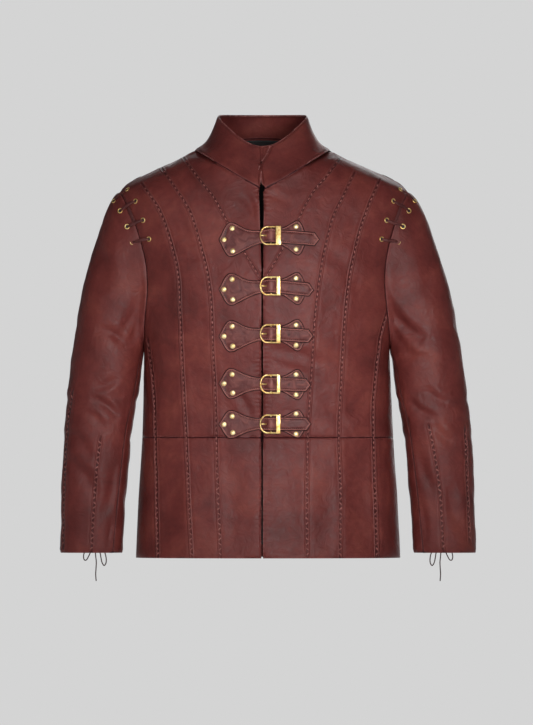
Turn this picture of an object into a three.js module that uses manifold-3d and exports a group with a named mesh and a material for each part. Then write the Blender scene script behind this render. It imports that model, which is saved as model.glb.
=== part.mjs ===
// Leather jacket with a stand collar and five buckled closures, filled out and empty: every piece of
// cloth is a thin wall on ring sections. Millimetres, +Z up, front towards -Y, +X to the wearer's left.
// The origin is the middle of the neck base, where a wearer's neck carries the garment.
import * as THREE from "three";
import { mergeVertices } from "three/addons/utils/BufferGeometryUtils.js";
import Module from "manifold-3d";

const wasm = await Module();
wasm.setup();

// ---------------------------------------------------------------- driving dimensions
const LEATHER = 1.7; // garment leather with its lining
const COLLAR_LEATHER = 2.4; // two layers, turned at the edge
const LINING = 1.0;
const LINING_TOP_SLACK = 1.7;
const LINING_SLACK = 5; // the lining hangs loose inside the back
const LINING_HALF = 78; // half width of the lining that shows
const LINING_SHORT = 12; // the lining ends this far over the hem
const SEAM_GAP = 0.3;
const NECK_HALF = 118; // neck seam at the shoulder, from the middle line
const NECK_FRONT_Z = -68;
const NECK_SIDE_Z = 3;
const NECK_BACK_Z = 25;
const SHOULDER_HALF = 256; // shoulder tip, from the middle line
const SHOULDER_Z = -72;
const YOKE_Z = -96; // below this level the rows of the torso run level
const ARMPIT_Z = -352;
const WAIST_Z = -508;
const HEM_Z = -722;
const CUFF_Z = -713;
const SLEEVE_TOP_Z = -71;
const SLEEVE_ROOT_GAP = 0.8;
const COLLAR_TOP_HALF = 77;
const COLLAR_TOP_BACK_Z = 66;
const COLLAR_TOP_FRONT_Z = 9;
const COLLAR_TOP_DEPTH = 62;
const COLLAR_RAISE = 1.15; // the collar's lower edge stands this far over the neck seam
const COLLAR_LAP = 3.4; // the right end of the collar stands this far in front of the left end
const COLLAR_LAP_TURN = 34; // degrees over which it comes forward
const CLOSURE_X = -4; // line on which the two fronts meet
const CLOSURE_HALF_GAP = 2.3;
const CLOSURE_OPENS = 1.4; // how much wider each half of the gap is at the neck
const CLOSURE_LEANS = 1.5; // how far the gap leans aside at the neck

// Ring sections of the torso: half width, depth in front and behind, and how square the ring is.
const RINGS = [
  { z: 32, half: 84, front: 62, back: 74, square: 2.1 },
  { z: 3, half: 118, front: 84, back: 86, square: 2.1 },
  { z: -14, half: 152, front: 92, back: 94, square: 2.15 },
  { z: -35, half: 198, front: 98, back: 102, square: 2.2 },
  { z: -57, half: 241, front: 103, back: 108, square: 2.3 },
  { z: -72, half: 256, front: 106, back: 111, square: 2.35 },
  { z: -96, half: 258, front: 111, back: 115, square: 2.4 },
  { z: -158, half: 242, front: 121, back: 120, square: 2.4 },
  { z: -215, half: 231, front: 127, back: 122, square: 2.4 },
  { z: -272, half: 229, front: 128, back: 119, square: 2.4 },
  { z: -325, half: 223.5, front: 125, back: 114, square: 2.4 },
  { z: -352, half: 218.5, front: 123, back: 112, square: 2.4 },
  { z: -400, half: 219.8, front: 118, back: 108, square: 2.4 },
  { z: -508, half: 223.5, front: 113, back: 106, square: 2.4 },
  { z: -616, half: 230.5, front: 120, back: 116, square: 2.3 },
  { z: -722, half: 235.5, front: 127, back: 125, square: 2.3 },
];

// The garment hangs a little to one side: the middle line's x at a few heights.
const DRIFT = [
  { z: 30, x: -4.4 },
  { z: 0, x: -3.6 },
  { z: -70, x: -0.8 },
  { z: -200, x: 2.2 },
  { z: -350, x: 4.2 },
  { z: -500, x: 5.8 },
  { z: -722, x: 6.5 },
];

// Armhole seam from the front: its distance from the middle line.
const ARMHOLE = [
  { z: -72, half: 256 },
  { z: -96, half: 243.5 },
  { z: -127, half: 231 },
  { z: -158, half: 221.5 },
  { z: -188, half: 214 },
  { z: -215, half: 210.5 },
  { z: -240, half: 210.5 },
  { z: -272, half: 213.5 },
  { z: -300, half: 216 },
  { z: -325, half: 217.6 },
  { z: -352, half: 218.5 },
];

// Sleeve outline from the front, from the middle line, with its half depth and how far it comes forward.
const SLEEVE_OUTER = [
  { z: -71, half: 256 },
  { z: -75, half: 267 },
  { z: -84, half: 274 },
  { z: -100, half: 281 },
  { z: -157, half: 301.7 },
  { z: -214, half: 319.5 },
  { z: -271, half: 333 },
  { z: -356, half: 346.5 },
  { z: -441, half: 358 },
  { z: -541, half: 365 },
  { z: -627, half: 368.5 },
  { z: -713, half: 369.5 },
];
const SLEEVE_INNER = [
  { z: -352.5, half: 219.2 },
  { z: -375, half: 222.6 },
  { z: -400, half: 225.6 },
  { z: -441, half: 230.5 },
  { z: -484, half: 239.4 },
  { z: -541, half: 245.8 },
  { z: -627, half: 252.8 },
  { z: -713, half: 259 },
];
const SLEEVE_DEPTH = [
  { z: -71, half: 60, forward: 0 },
  { z: -200, half: 62, forward: 0 },
  { z: -330, half: 59, forward: 2 },
  { z: -440, half: 53, forward: 5 },
  { z: -560, half: 47, forward: 9 },
  { z: -713, half: 41, forward: 14 },
];
const SLEEVE_ROWS = [71, 80, 100, 128, 162, 200, 242, 286, 330, 374, 418, 464, 512, 562, 612, 662, 713];
const SLEEVE_TOP_SIDES = 11; // columns round the sleeve's top piece
const SLEEVE_UNDER_SIDES = 7;
const SLEEVE_TILT_LENGTH = 450; // the rows turn from the armhole's slope to level over this length
const SLEEVE_ROOT_LENGTH = 120; // the root follows the armhole seam over this length
const SLEEVE_ROUND = 0.92; // under 1, the section is a little squarer than an ellipse
const SLEEVE_FRONT_SEAM = { from: 164, to: 132 }; // degrees round from the outer line, root to cuff
const SLEEVE_BACK_SEAM = { from: 282, to: 288 };

// Large soft folds: a trough from one point to another in the front view, measured from the middle line.
const BODY_FOLDS = [
  { side: -1, x1: -34, z1: -85, x2: -12, z2: -130, wide: 13, deep: 3.0 },
  { side: -1, x1: -190, z1: -262, x2: -128, z2: -296, wide: 22, deep: 2.6 },
  { side: -1, x1: 128, z1: -368, x2: 190, z2: -345, wide: 20, deep: 2.6 },
  { side: -1, x1: -195, z1: -400, x2: -132, z2: -372, wide: 20, deep: 2.6 },
  { side: -1, x1: 195, z1: -405, x2: 140, z2: -440, wide: 20, deep: 2.6 },
  { side: 1, x1: -170, z1: -190, x2: -70, z2: -150, wide: 26, deep: 3.0 },
  { side: 1, x1: 170, z1: -190, x2: 70, z2: -150, wide: 26, deep: 3.0 },
  { side: 1, x1: -150, z1: -440, x2: 20, z2: -465, wide: 22, deep: 3.4 },
  { side: 1, x1: 160, z1: -420, x2: 30, z2: -440, wide: 22, deep: 3.0 },
];
const SLEEVE_FOLDS = [
  { side: -1, x1: 215, z1: -245, x2: 236, z2: -335, wide: 15, deep: 4.5 },
  { side: -1, x1: 240, z1: -345, x2: 292, z2: -310, wide: 15, deep: 4.0 },
  { side: -1, x1: 262, z1: -440, x2: 308, z2: -462, wide: 13, deep: 4.0 },
  { side: -1, x1: 345, z1: -545, x2: 300, z2: -612, wide: 16, deep: 3.4 },
  { side: -1, x1: 300, z1: -395, x2: 345, z2: -420, wide: 15, deep: 3.0 },
  { side: 1, x1: 250, z1: -300, x2: 310, z2: -330, wide: 18, deep: 4.0 },
  { side: 1, x1: 255, z1: -430, x2: 340, z2: -455, wide: 16, deep: 4.5 },
  { side: 1, x1: 270, z1: -520, x2: 345, z2: -500, wide: 16, deep: 3.4 },
];

// The closures from the top: height of the shields, of the buckle and of the strap's end, the whole
// height of the shields, and the x of the strap's point.
const CLOSURES = [
  { shieldZ: -157, buckleZ: -150.5, endZ: -157, shield: 62, endX: 98 },
  { shieldZ: -245, buckleZ: -239, endZ: -246.5, shield: 58, endX: 88 },
  { shieldZ: -328, buckleZ: -323, endZ: -328, shield: 57, endX: 87 },
  { shieldZ: -412, buckleZ: -412.5, endZ: -414.5, shield: 55, endX: 82.5 },
  { shieldZ: -484.5, buckleZ: -483.5, endZ: -483.5, shield: 51, endX: 83 },
];
const STRAP_LEATHER = 2.2;
const STRAP_HALF = 12.5;
const STRAP_START_X = -81; // point of the strap's shield
const TAB_LEATHER = 1.6;
const TAB_POINT_X = 76;
const TAB_NECK_HALF = 12;
const TAB_SHIELD_X = 24; // the tab's shield ends here and its neck begins
const TAB_TURN_X = 19; // the neck lifts from here to the bar
const ON_PANEL = 0.3; // what lies on a panel starts this far out

// Outline of a shield from its point: half height as a share of the full one.
const SHIELD = [
  { along: 0, share: 0.05 },
  { along: 6, share: 0.38 },
  { along: 13, share: 0.84 },
  { along: 19, share: 1.0 },
  { along: 26, share: 0.96 },
  { along: 36, share: 0.8 },
  { along: 48, share: 0.62 },
  { along: 60, share: 0.48 },
  { along: 72, share: 0.41 },
];
const SHIELD_ON_TAB = 0.8; // the tab's shield is this much shorter

// Height of the strap's underside over the front as it runs over the bar and under the keeper.
const STRAP_RISE = [
  { x: -81, out: 0.3 },
  { x: -14, out: 0.3 },
  { x: -6, out: 0.5 },
  { x: -1, out: 0.8 },
  { x: 3, out: 2.9 },
  { x: 7, out: 5.6 },
  { x: 11.6, out: 7.0 },
  { x: 15.4, out: 6.2 },
  { x: 20, out: 3.9 },
  { x: 25, out: 2.9 },
  { x: 31, out: 2.6 },
  { x: 77, out: 2.6 },
  { x: 86, out: 1.3 },
  { x: 98, out: 0.9 },
];

const BUCKLE = {
  bar: 11.6, // x of the middle bar
  barOut: 3.8,
  barRadius: 1.3,
  rod: 1.6, // radius of the frame's rod
  half: 15.7, // half height of the frame, on the rod's middle
  round: 11.9, // how far the round end reaches out
  shoulder: 5, // x where the round end starts
  left: 5.2, // height of the rod at the round end
  keeper: 24.6, // x of the keeper bar's middle
  keeperWide: 9.8,
  keeperThick: 1.9,
  keeperOut: 7.6,
};
const LOOP_WALL = 1.2;
const BAR_PLAY = 0.3;
const PRONG_RADIUS = 1.15;
const PRONG_SLOT = 5;
const RIVET_RADIUS = 4.3;
const RIVET_DOME = 2.2;
const RIVET_INSET = 11; // from a shield's upper and lower edge to the rivet's middle
const STRAP_RIVET_X = { point: 9.5, upper: 24, lower: 25 }; // from the point of the strap's shield
const TAB_RIVET_X = 20; // from the point of the tab's shield

// Shoulder laces: the hole on the body and the hole on the sleeve, from the middle line.
const LACES = [
  { body: 243, bodyZ: -67, sleeve: 268, sleeveZ: -87 },
  { body: 229, bodyZ: -88, sleeve: 256.5, sleeveZ: -105 },
  { body: 216.5, bodyZ: -122, sleeve: 245, sleeveZ: -133 },
  { body: 206.5, bodyZ: -155.5, sleeve: 236, sleeveZ: -161 },
];
const EYELET_RADIUS = 4.9;
const EYELET_SEAT = 0.9; // the flat eyelets clear the curved shoulder by this much
const LACE_WIDE = 4.4;
const LACE_THICK = 1.7;
// Arch of a lace from one hole to the other: share of the way, height over the leather, and bulge.
const LACE_ARCH = [
  { share: 0, out: 1.9, bulge: 0 },
  { share: 0.2, out: 2.6, bulge: 0.4 },
  { share: 0.5, out: 3.2, bulge: 1.6 },
  { share: 0.8, out: 2.6, bulge: 0.4 },
  { share: 1, out: 1.9, bulge: 0 },
];
const CORD = 2.0; // diameter of the cuff laces

// ---------------------------------------------------------------- tables
/** Value of a table's column at a height, on a smooth curve through its rows that never overshoots. */
function look(rows, key, value, column) {
  const down = rows[0][key] > rows[rows.length - 1][key];
  const at = (i) => (down ? -rows[i][key] : rows[i][key]);
  const v = down ? -value : value;
  const last = rows.length - 1;
  if (v <= at(0)) return rows[0][column];
  if (v >= at(last)) return rows[last][column];
  let i = 0;
  while (v > at(i + 1)) i++;
  const slope = (k) => (rows[k + 1][column] - rows[k][column]) / (at(k + 1) - at(k));
  const tangent = (k) => {
    if (k === 0) return slope(0);
    if (k === last) return slope(last - 1);
    const a = slope(k - 1);
    const b = slope(k);
    return a * b <= 0 ? 0 : (2 * a * b) / (a + b);
  };
  const h = at(i + 1) - at(i);
  const t = (v - at(i)) / h;
  const start = rows[i][column] * (1 + 2 * t) * (1 - t) ** 2 + tangent(i) * h * t * (1 - t) ** 2;
  const end = rows[i + 1][column] * t * t * (3 - 2 * t) + tangent(i + 1) * h * t * t * (t - 1);
  return start + end;
}

const lerp = (a, b, t) => a + (b - a) * t;
const clamp01 = (v) => Math.min(1, Math.max(0, v));
const radians = (degrees) => (degrees * Math.PI) / 180;
const range = (count) => Array.from({ length: count }, (_, i) => i);
const steps = (from, to, count) => range(count + 1).map((i) => lerp(from, to, i / count));
const drift = (z) => look(DRIFT, "z", z, "x");

/** Depth of the soft folds at a point of the front view, given from the middle line. */
function foldDepth(folds, side, x, z) {
  let depth = 0;
  for (const f of folds.filter((row) => row.side === side)) {
    const dx = f.x2 - f.x1;
    const dz = f.z2 - f.z1;
    const t = clamp01(((x - f.x1) * dx + (z - f.z1) * dz) / (dx * dx + dz * dz));
    const off = Math.hypot(x - f.x1 - t * dx, z - f.z1 - t * dz) / f.wide;
    depth += f.deep * Math.exp(-off * off) * (0.55 + 0.45 * Math.sin(Math.PI * t));
  }
  return depth;
}

// ---------------------------------------------------------------- torso surface
const section = (z) => ({
  centre: drift(z),
  half: look(RINGS, "z", z, "half"),
  front: look(RINGS, "z", z, "front"),
  back: look(RINGS, "z", z, "back"),
  square: look(RINGS, "z", z, "square"),
});

/** Point of the torso at x and z, on the front (side -1) or the back (side 1), before its folds. */
function ringPoint(x, z, side) {
  const s = section(z);
  const share = Math.min(1, Math.abs(x - s.centre) / s.half);
  const depth = side < 0 ? s.front : s.back;
  return new THREE.Vector3(x, side * depth * (1 - share ** s.square) ** (1 / s.square), z);
}

/** Outward normal of the torso at one of its points. */
function ringNormal(p) {
  const level = (x, y, z) => {
    const s = section(z);
    const depth = y < 0 ? s.front : s.back;
    return (Math.abs(x - s.centre) / s.half) ** s.square + (Math.abs(y) / depth) ** s.square;
  };
  const d = 0.4;
  return new THREE.Vector3(
    level(p.x + d, p.y, p.z) - level(p.x - d, p.y, p.z),
    level(p.x, p.y + d, p.z) - level(p.x, p.y - d, p.z),
    level(p.x, p.y, p.z + d) - level(p.x, p.y, p.z - d),
  ).normalize();
}

/** Point of the torso with its folds, moved out by a distance. */
function torsoPoint(x, z, side, out = 0) {
  const p = ringPoint(x, z, side);
  const n = ringNormal(p);
  const nearClosure = side < 0 ? clamp01((Math.abs(x - CLOSURE_X) - 14) / 20) : 1;
  const depth = foldDepth(BODY_FOLDS, side, x - drift(z), z) * nearClosure;
  return { point: p.addScaledVector(n, out - depth), normal: n };
}

/** Height of the shoulder ridge where the torso has a given half width. */
function ridgeZ(half) {
  let low = SHOULDER_Z;
  let high = NECK_SIDE_Z;
  for (let i = 0; i < 40; i++) {
    const middle = (low + high) / 2;
    if (section(middle).half > half) low = middle;
    else high = middle;
  }
  return (low + high) / 2;
}

/** Height of the neck seam at a distance from the middle line. */
function neckZ(x, side) {
  const share = clamp01(Math.abs(x) / NECK_HALF);
  if (side < 0) return NECK_FRONT_Z + (NECK_SIDE_Z - NECK_FRONT_Z) * share ** 1.1;
  return NECK_BACK_Z + (NECK_SIDE_Z - NECK_BACK_Z) * share ** 2.2;
}

/** x of the front edge of one front; the gap opens a little towards the neck. */
function closureEdge(z, hand) {
  const nearNeck = clamp01((z + 170) / 100);
  const half = CLOSURE_HALF_GAP + CLOSURE_OPENS * nearNeck ** 2;
  return CLOSURE_X + hand * half - CLOSURE_LEANS * clamp01((z + 200) / 130);
}

/** x of the outer edge of a torso panel: the armhole seam, and the side seam below it. */
function outerEdge(z, hand) {
  const half = z > ARMPIT_Z ? look(ARMHOLE, "z", z, "half") : section(z).half;
  return drift(z) + hand * half;
}

/** x at a share of the way from one edge of a panel to the other, spaced evenly round the ring. */
function ringX(z, share, fromX, toX) {
  const s = section(z);
  const angle = (x) => Math.asin(Math.max(-1, Math.min(1, (x - s.centre) / s.half)));
  return s.centre + s.half * Math.sin(lerp(angle(fromX), angle(toX), share));
}

// ---------------------------------------------------------------- solids
/** A closed solid from vertices and triangles, with shared vertices merged. */
function meshOf(positions, faces) {
  const flat = new Float32Array(faces.flat().flatMap((i) => positions[i].toArray()));
  const geometry = new THREE.BufferGeometry();
  geometry.setAttribute("position", new THREE.BufferAttribute(flat, 3));
  return mergeVertices(geometry, 1e-4);
}

/** Moves the border of a grid inwards on the named edges, so that two pieces stay apart at a seam. */
function trimEdges(grid, edges) {
  const last = grid.length - 1;
  const end = grid[0].length - 1;
  const shift = (p, towards) => {
    const step = towards.point.clone().sub(p.point);
    p.point.addScaledVector(step, SEAM_GAP / 2 / step.length());
  };
  if (edges.includes("top")) grid[0].forEach((p, j) => shift(p, grid[1][j]));
  if (edges.includes("bottom")) grid[last].forEach((p, j) => shift(p, grid[last - 1][j]));
  if (edges.includes("start")) grid.forEach((row) => shift(row[0], row[1]));
  if (edges.includes("end")) grid.forEach((row) => shift(row[end], row[end - 1]));
}

/** A wall of even thickness inside a grid of outer points and normals. */
function wall(grid, thick) {
  const rows = grid.length;
  const columns = grid[0].length;
  const outer = grid.flat().map((g) => g.point);
  const inner = grid.flat().map((g) => g.point.clone().addScaledVector(g.normal, -thick));
  const positions = [...outer, ...inner];
  const faces = [];
  const id = (i, j) => i * columns + j;
  const under = rows * columns;
  const quad = (a, b, c, d) => faces.push([a, b, c], [a, c, d]);
  for (let i = 0; i + 1 < rows; i++)
    for (let j = 0; j + 1 < columns; j++) {
      quad(id(i, j), id(i + 1, j), id(i + 1, j + 1), id(i, j + 1));
      quad(under + id(i, j), under + id(i, j + 1), under + id(i + 1, j + 1), under + id(i + 1, j));
    }
  for (let j = 0; j + 1 < columns; j++) {
    quad(id(0, j), id(0, j + 1), under + id(0, j + 1), under + id(0, j));
    const i = rows - 1;
    quad(id(i, j + 1), id(i, j), under + id(i, j), under + id(i, j + 1));
  }
  for (let i = 0; i + 1 < rows; i++) {
    quad(id(i + 1, 0), id(i, 0), under + id(i, 0), under + id(i + 1, 0));
    const j = columns - 1;
    quad(id(i, j), id(i + 1, j), under + id(i + 1, j), under + id(i, j));
  }
  const geometry = meshOf(positions, faces);
  return volumeOf(geometry) < 0 ? turned(geometry) : geometry;
}

/** Signed volume inside a closed geometry. */
function volumeOf(geometry) {
  const p = geometry.getAttribute("position");
  const index = geometry.index.array;
  const corner = (k) => new THREE.Vector3().fromBufferAttribute(p, index[k]);
  let volume = 0;
  for (let k = 0; k < index.length; k += 3)
    volume += corner(k).dot(corner(k + 1).cross(corner(k + 2))) / 6;
  return volume;
}

/** The same geometry with every face turned round. */
function turned(geometry) {
  const index = geometry.index.array;
  for (let k = 0; k < index.length; k += 3) [index[k + 1], index[k + 2]] = [index[k + 2], index[k + 1]];
  return geometry;
}

/** A geometry as a solid for joining and cutting. */
function solid(geometry) {
  const bare = new THREE.BufferGeometry().setAttribute("position", geometry.getAttribute("position"));
  if (geometry.index) bare.setIndex(geometry.index);
  const merged = mergeVertices(bare, 1e-4);
  if (volumeOf(merged) < 0) turned(merged);
  return new wasm.Manifold(
    new wasm.Mesh({
      numProp: 3,
      vertProperties: merged.getAttribute("position").array,
      triVerts: new Uint32Array(merged.index.array),
    }),
  );
}

/** A solid as a geometry again. */
function geometryOf(body) {
  const mesh = body.getMesh();
  const geometry = new THREE.BufferGeometry();
  geometry.setAttribute("position", new THREE.BufferAttribute(new Float32Array(mesh.vertProperties), 3));
  geometry.setIndex(new THREE.BufferAttribute(new Uint32Array(mesh.triVerts), 1));
  return geometry;
}

const joined = (...pieces) => pieces.map(solid).reduce((all, next) => all.add(next));

/** A round or flat rod along a curve. */
function rod(points, wide, thick, sides, pieces) {
  const outline = new THREE.Shape(
    range(sides).map((i) => {
      const angle = (2 * Math.PI * (i + 0.5)) / sides;
      return new THREE.Vector2((thick / 2) * Math.cos(angle), (wide / 2) * Math.sin(angle));
    }),
  );
  const extrudePath = new THREE.CatmullRomCurve3(points);
  return new THREE.ExtrudeGeometry(outline, { steps: pieces, extrudePath, bevelEnabled: false });
}

/** Frame on the front: local x to the wearer's left, local y up and local z out of the panel. */
function frontFrame(x, z) {
  const { point, normal } = torsoPoint(x, z, -1);
  const across = new THREE.Vector3(1, 0, 0).addScaledVector(normal, -normal.x).normalize();
  const up = normal.clone().cross(across);
  return new THREE.Matrix4().makeBasis(across, up, normal).setPosition(point);
}

// ---------------------------------------------------------------- materials and scene graph
const leather = new THREE.MeshStandardMaterial({ color: 0x70403c, roughness: 0.5, metalness: 0 });
const darkLeather = new THREE.MeshStandardMaterial({ color: 0x5e302e, roughness: 0.48, metalness: 0 });
const brass = new THREE.MeshStandardMaterial({ color: 0xd8b25c, roughness: 0.3, metalness: 1 });
const blackCloth = new THREE.MeshStandardMaterial({ color: 0x0d0b0b, roughness: 0.8, metalness: 0 });
const jacket = new THREE.Group();

/** Adds one named piece. */
function piece(name, geometry, material) {
  const mesh = new THREE.Mesh(geometry, material);
  mesh.name = name;
  jacket.add(mesh);
  return mesh;
}

// ---------------------------------------------------------------- torso panels
const YOKE_SHARES = [0, 0.05, 0.15, 0.32, 0.6];
const NECK_SNAP = 20; // the column nearest the neck's corner is moved onto it
const UPPER_LEVELS = [...steps(YOKE_Z, ARMPIT_Z, 8), ...steps(ARMPIT_Z, WAIST_Z, 4).slice(1)];
const SKIRT_LEVELS = steps(WAIST_Z, HEM_Z, 6);
const FRONT_COLUMNS = 9;
const BACK_COLUMNS = 8; // on each side of the middle line

/** Rows of an upper panel between two shares of the torso's width, -1 and 1 being its outer edges. */
function upperGrid(side, shares, inner, hands) {
  const level = (z) => shares.map((q, j) => ringX(z, q, inner(z, j), outerEdge(z, hands[j])));
  const base = level(YOKE_Z);
  const c = drift(YOKE_Z);
  const spread = SHOULDER_HALF / look(ARMHOLE, "z", YOKE_Z, "half");
  const top = base.map((x) => (x - c) * spread);
  for (const hand of [-1, 1]) {
    const off = top.map((x) => Math.abs(x - hand * NECK_HALF));
    const nearest = off.indexOf(Math.min(...off));
    if (off[nearest] < NECK_SNAP) top[nearest] = hand * NECK_HALF;
  }
  const rows = YOKE_SHARES.map((w) =>
    shares.map((q, j) => {
      const reach = Math.abs(top[j]);
      const topZ = reach <= NECK_HALF ? neckZ(top[j], side) : ridgeZ(reach);
      const z = lerp(topZ, YOKE_Z, w);
      const straight = lerp(top[j] + drift(topZ), base[j], w);
      const seam = outerEdge(Math.min(z, SHOULDER_Z), hands[j]);
      const x = lerp(straight, seam, q ** 6 * (w > 0 ? 1 : 0));
      return torsoPoint(x, z, side);
    }),
  );
  for (const z of UPPER_LEVELS) rows.push(level(z).map((x) => torsoPoint(x, z, side)));
  return rows;
}

function addTorso() {
  for (const [name, hand] of [["front_right", -1], ["front_left", 1]]) {
    const shares = steps(0, 1, FRONT_COLUMNS);
    const hands = shares.map(() => hand);
    const inner = (z) => closureEdge(z, hand);
    const upper = upperGrid(-1, shares, inner, hands);
    trimEdges(upper, ["top", "bottom", "end"]);
    piece(name + "_upper", wall(upper, LEATHER), leather);
    const skirt = SKIRT_LEVELS.map((z) =>
      shares.map((q) => torsoPoint(ringX(z, q, inner(z), outerEdge(z, hand)), z, -1)),
    );
    trimEdges(skirt, ["top", "end"]);
    piece(name + "_skirt", wall(skirt, LEATHER), leather);
  }
  const signed = steps(-1, 1, 2 * BACK_COLUMNS);
  const hands = signed.map((q) => (q < 0 ? -1 : 1));
  const shares = signed.map(Math.abs);
  const upper = upperGrid(1, shares, (z) => drift(z), hands);
  trimEdges(upper, ["top", "bottom", "start", "end"]);
  piece("back_upper", wall(upper, LEATHER), leather);
  const skirt = SKIRT_LEVELS.map((z) =>
    shares.map((q, j) => torsoPoint(ringX(z, q, drift(z), outerEdge(z, hands[j])), z, 1)),
  );
  trimEdges(skirt, ["top", "start", "end"]);
  piece("back_skirt", wall(skirt, LEATHER), leather);
}

/** The lining of the back, where it shows through the neck and between the fronts. */
function addLining() {
  const columns = steps(-LINING_HALF, LINING_HALF, 6);
  const levels = [0, ...steps(20, 722, 13)];
  const rows = levels.map((down) =>
    columns.map((x) => {
      const z = Math.max(neckZ(x, 1) - 2 - down, HEM_Z + LINING_SHORT);
      const slack = down > 0 ? LINING_SLACK : LINING_TOP_SLACK;
      return torsoPoint(x + drift(z), z, 1, -LEATHER - slack);
    }),
  );
  piece("back_lining", wall(rows, LINING), blackCloth);
}

// ---------------------------------------------------------------- sleeves
/** Point of a sleeve's surface: angle in degrees from its outer line through the front, and row height. */
function sleevePoint(degrees, rowZ, hand) {
  const along = SLEEVE_TOP_Z - rowZ;
  const dropShare = clamp01(1 - along / SLEEVE_TILT_LENGTH);
  const innerZ = rowZ + (ARMPIT_Z - 0.5 - SLEEVE_TOP_Z) * dropShare ** 1.3;
  const outer = new THREE.Vector2(look(SLEEVE_OUTER, "z", rowZ, "half"), rowZ);
  const inner = new THREE.Vector2(look(SLEEVE_INNER, "z", innerZ, "half"), innerZ);
  const depth = look(SLEEVE_DEPTH, "z", rowZ, "half");
  const angle = radians(degrees);
  const soft = (v) => Math.sign(v) * Math.abs(v) ** SLEEVE_ROUND;
  const across = soft(Math.cos(angle));
  const z = lerp(inner.y, outer.y, (across + 1) / 2);
  const half = lerp(inner.x, outer.x, (across + 1) / 2);
  let x = half;
  let y = -depth * soft(Math.sin(angle)) - look(SLEEVE_DEPTH, "z", rowZ, "forward");
  const root = clamp01(1 - along / SLEEVE_ROOT_LENGTH) ** 2;
  if (root > 0) {
    const onArmhole = lerp(ARMPIT_Z, SHOULDER_Z, (across + 1) / 2);
    const seamHalf = look(ARMHOLE, "z", onArmhole, "half");
    const side = Math.sin(angle) >= 0 ? -1 : 1;
    const seam = ringPoint(drift(onArmhole) + seamHalf, onArmhole, side);
    const straight = lerp(look(SLEEVE_INNER, "z", ARMPIT_Z, "half"), SHOULDER_HALF, (across + 1) / 2);
    x += (seamHalf + SLEEVE_ROOT_GAP - straight) * root;
    y += (seam.y + look(SLEEVE_DEPTH, "z", SLEEVE_TOP_Z, "half") * soft(Math.sin(angle))) * root;
  }
  return new THREE.Vector3(drift(z) + hand * x, y, z);
}

/** Point and normal of a sleeve, with its folds. */
function sleeveSpot(degrees, rowZ, hand) {
  const p = sleevePoint(degrees, rowZ, hand);
  const round = sleevePoint(degrees + 2, rowZ, hand).sub(sleevePoint(degrees - 2, rowZ, hand));
  const low = Math.max(rowZ - 3, CUFF_Z);
  const high = Math.min(rowZ + 3, SLEEVE_TOP_Z);
  const down = sleevePoint(degrees, low, hand).sub(sleevePoint(degrees, high, hand));
  const normal = round.cross(down).multiplyScalar(hand).normalize();
  const side = Math.sin(radians(degrees)) >= 0 ? -1 : 1;
  const facing = Math.abs(Math.sin(radians(degrees)));
  const fade = clamp01((SLEEVE_TOP_Z - rowZ) / 60);
  const depth = foldDepth(SLEEVE_FOLDS, side, Math.abs(p.x - drift(p.z)), p.z) * facing * fade;
  return { point: p.addScaledVector(normal, -depth), normal };
}

function addSleeves() {
  const rows = SLEEVE_ROWS.map((z) => -z);
  const turn = (rowZ, seam) => lerp(seam.from, seam.to, (SLEEVE_TOP_Z - rowZ) / (SLEEVE_TOP_Z - CUFF_Z));
  for (const [name, hand] of [["sleeve_right", -1], ["sleeve_left", 1]]) {
    const cut = (sides, from, to) =>
      rows.map((z) => steps(from(z), to(z), sides).map((degrees) => sleeveSpot(degrees, z, hand)));
    const front = (z) => turn(z, SLEEVE_FRONT_SEAM);
    const back = (z) => turn(z, SLEEVE_BACK_SEAM);
    const top = cut(SLEEVE_TOP_SIDES, (z) => back(z) - 360, front);
    const under = cut(SLEEVE_UNDER_SIDES, front, back);
    trimEdges(top, ["start", "end"]);
    trimEdges(under, ["start", "end"]);
    piece(name + "_top", wall(top, LEATHER), leather);
    piece(name + "_under", wall(under, LEATHER), leather);
  }
}

// ---------------------------------------------------------------- collar
/** Point of the collar: degrees round from the front through the wearer's right, and share of its height. */
function collarPoint(degrees, up) {
  const angle = radians(degrees);
  const c = drift(0);
  const side = Math.cos(angle) >= 0 ? -1 : 1;
  const fromMiddle = -NECK_HALF * Math.sin(angle);
  const z = neckZ(fromMiddle, side);
  const base = ringPoint(drift(z) + fromMiddle, z, side);
  const fall = ((1 + Math.cos(angle)) / 2) ** 4.4;
  const top = new THREE.Vector3(
    c - COLLAR_TOP_HALF * Math.sin(angle),
    -COLLAR_TOP_DEPTH * Math.cos(angle) - 2,
    lerp(COLLAR_TOP_BACK_Z, COLLAR_TOP_FRONT_Z, fall),
  );
  const lean = up ** lerp(0.9, 0.47, Math.sin(angle) ** 2);
  const p = base.clone().lerp(top, lean);
  p.z = lerp(base.z, top.z, up) + COLLAR_RAISE * (1 - up);
  const lap = degrees < 180 ? clamp01(1 - Math.max(0, degrees) / COLLAR_LAP_TURN) : 0;
  p.y -= COLLAR_LAP * lap * clamp01(up * 2.2);
  return p;
}

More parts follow.
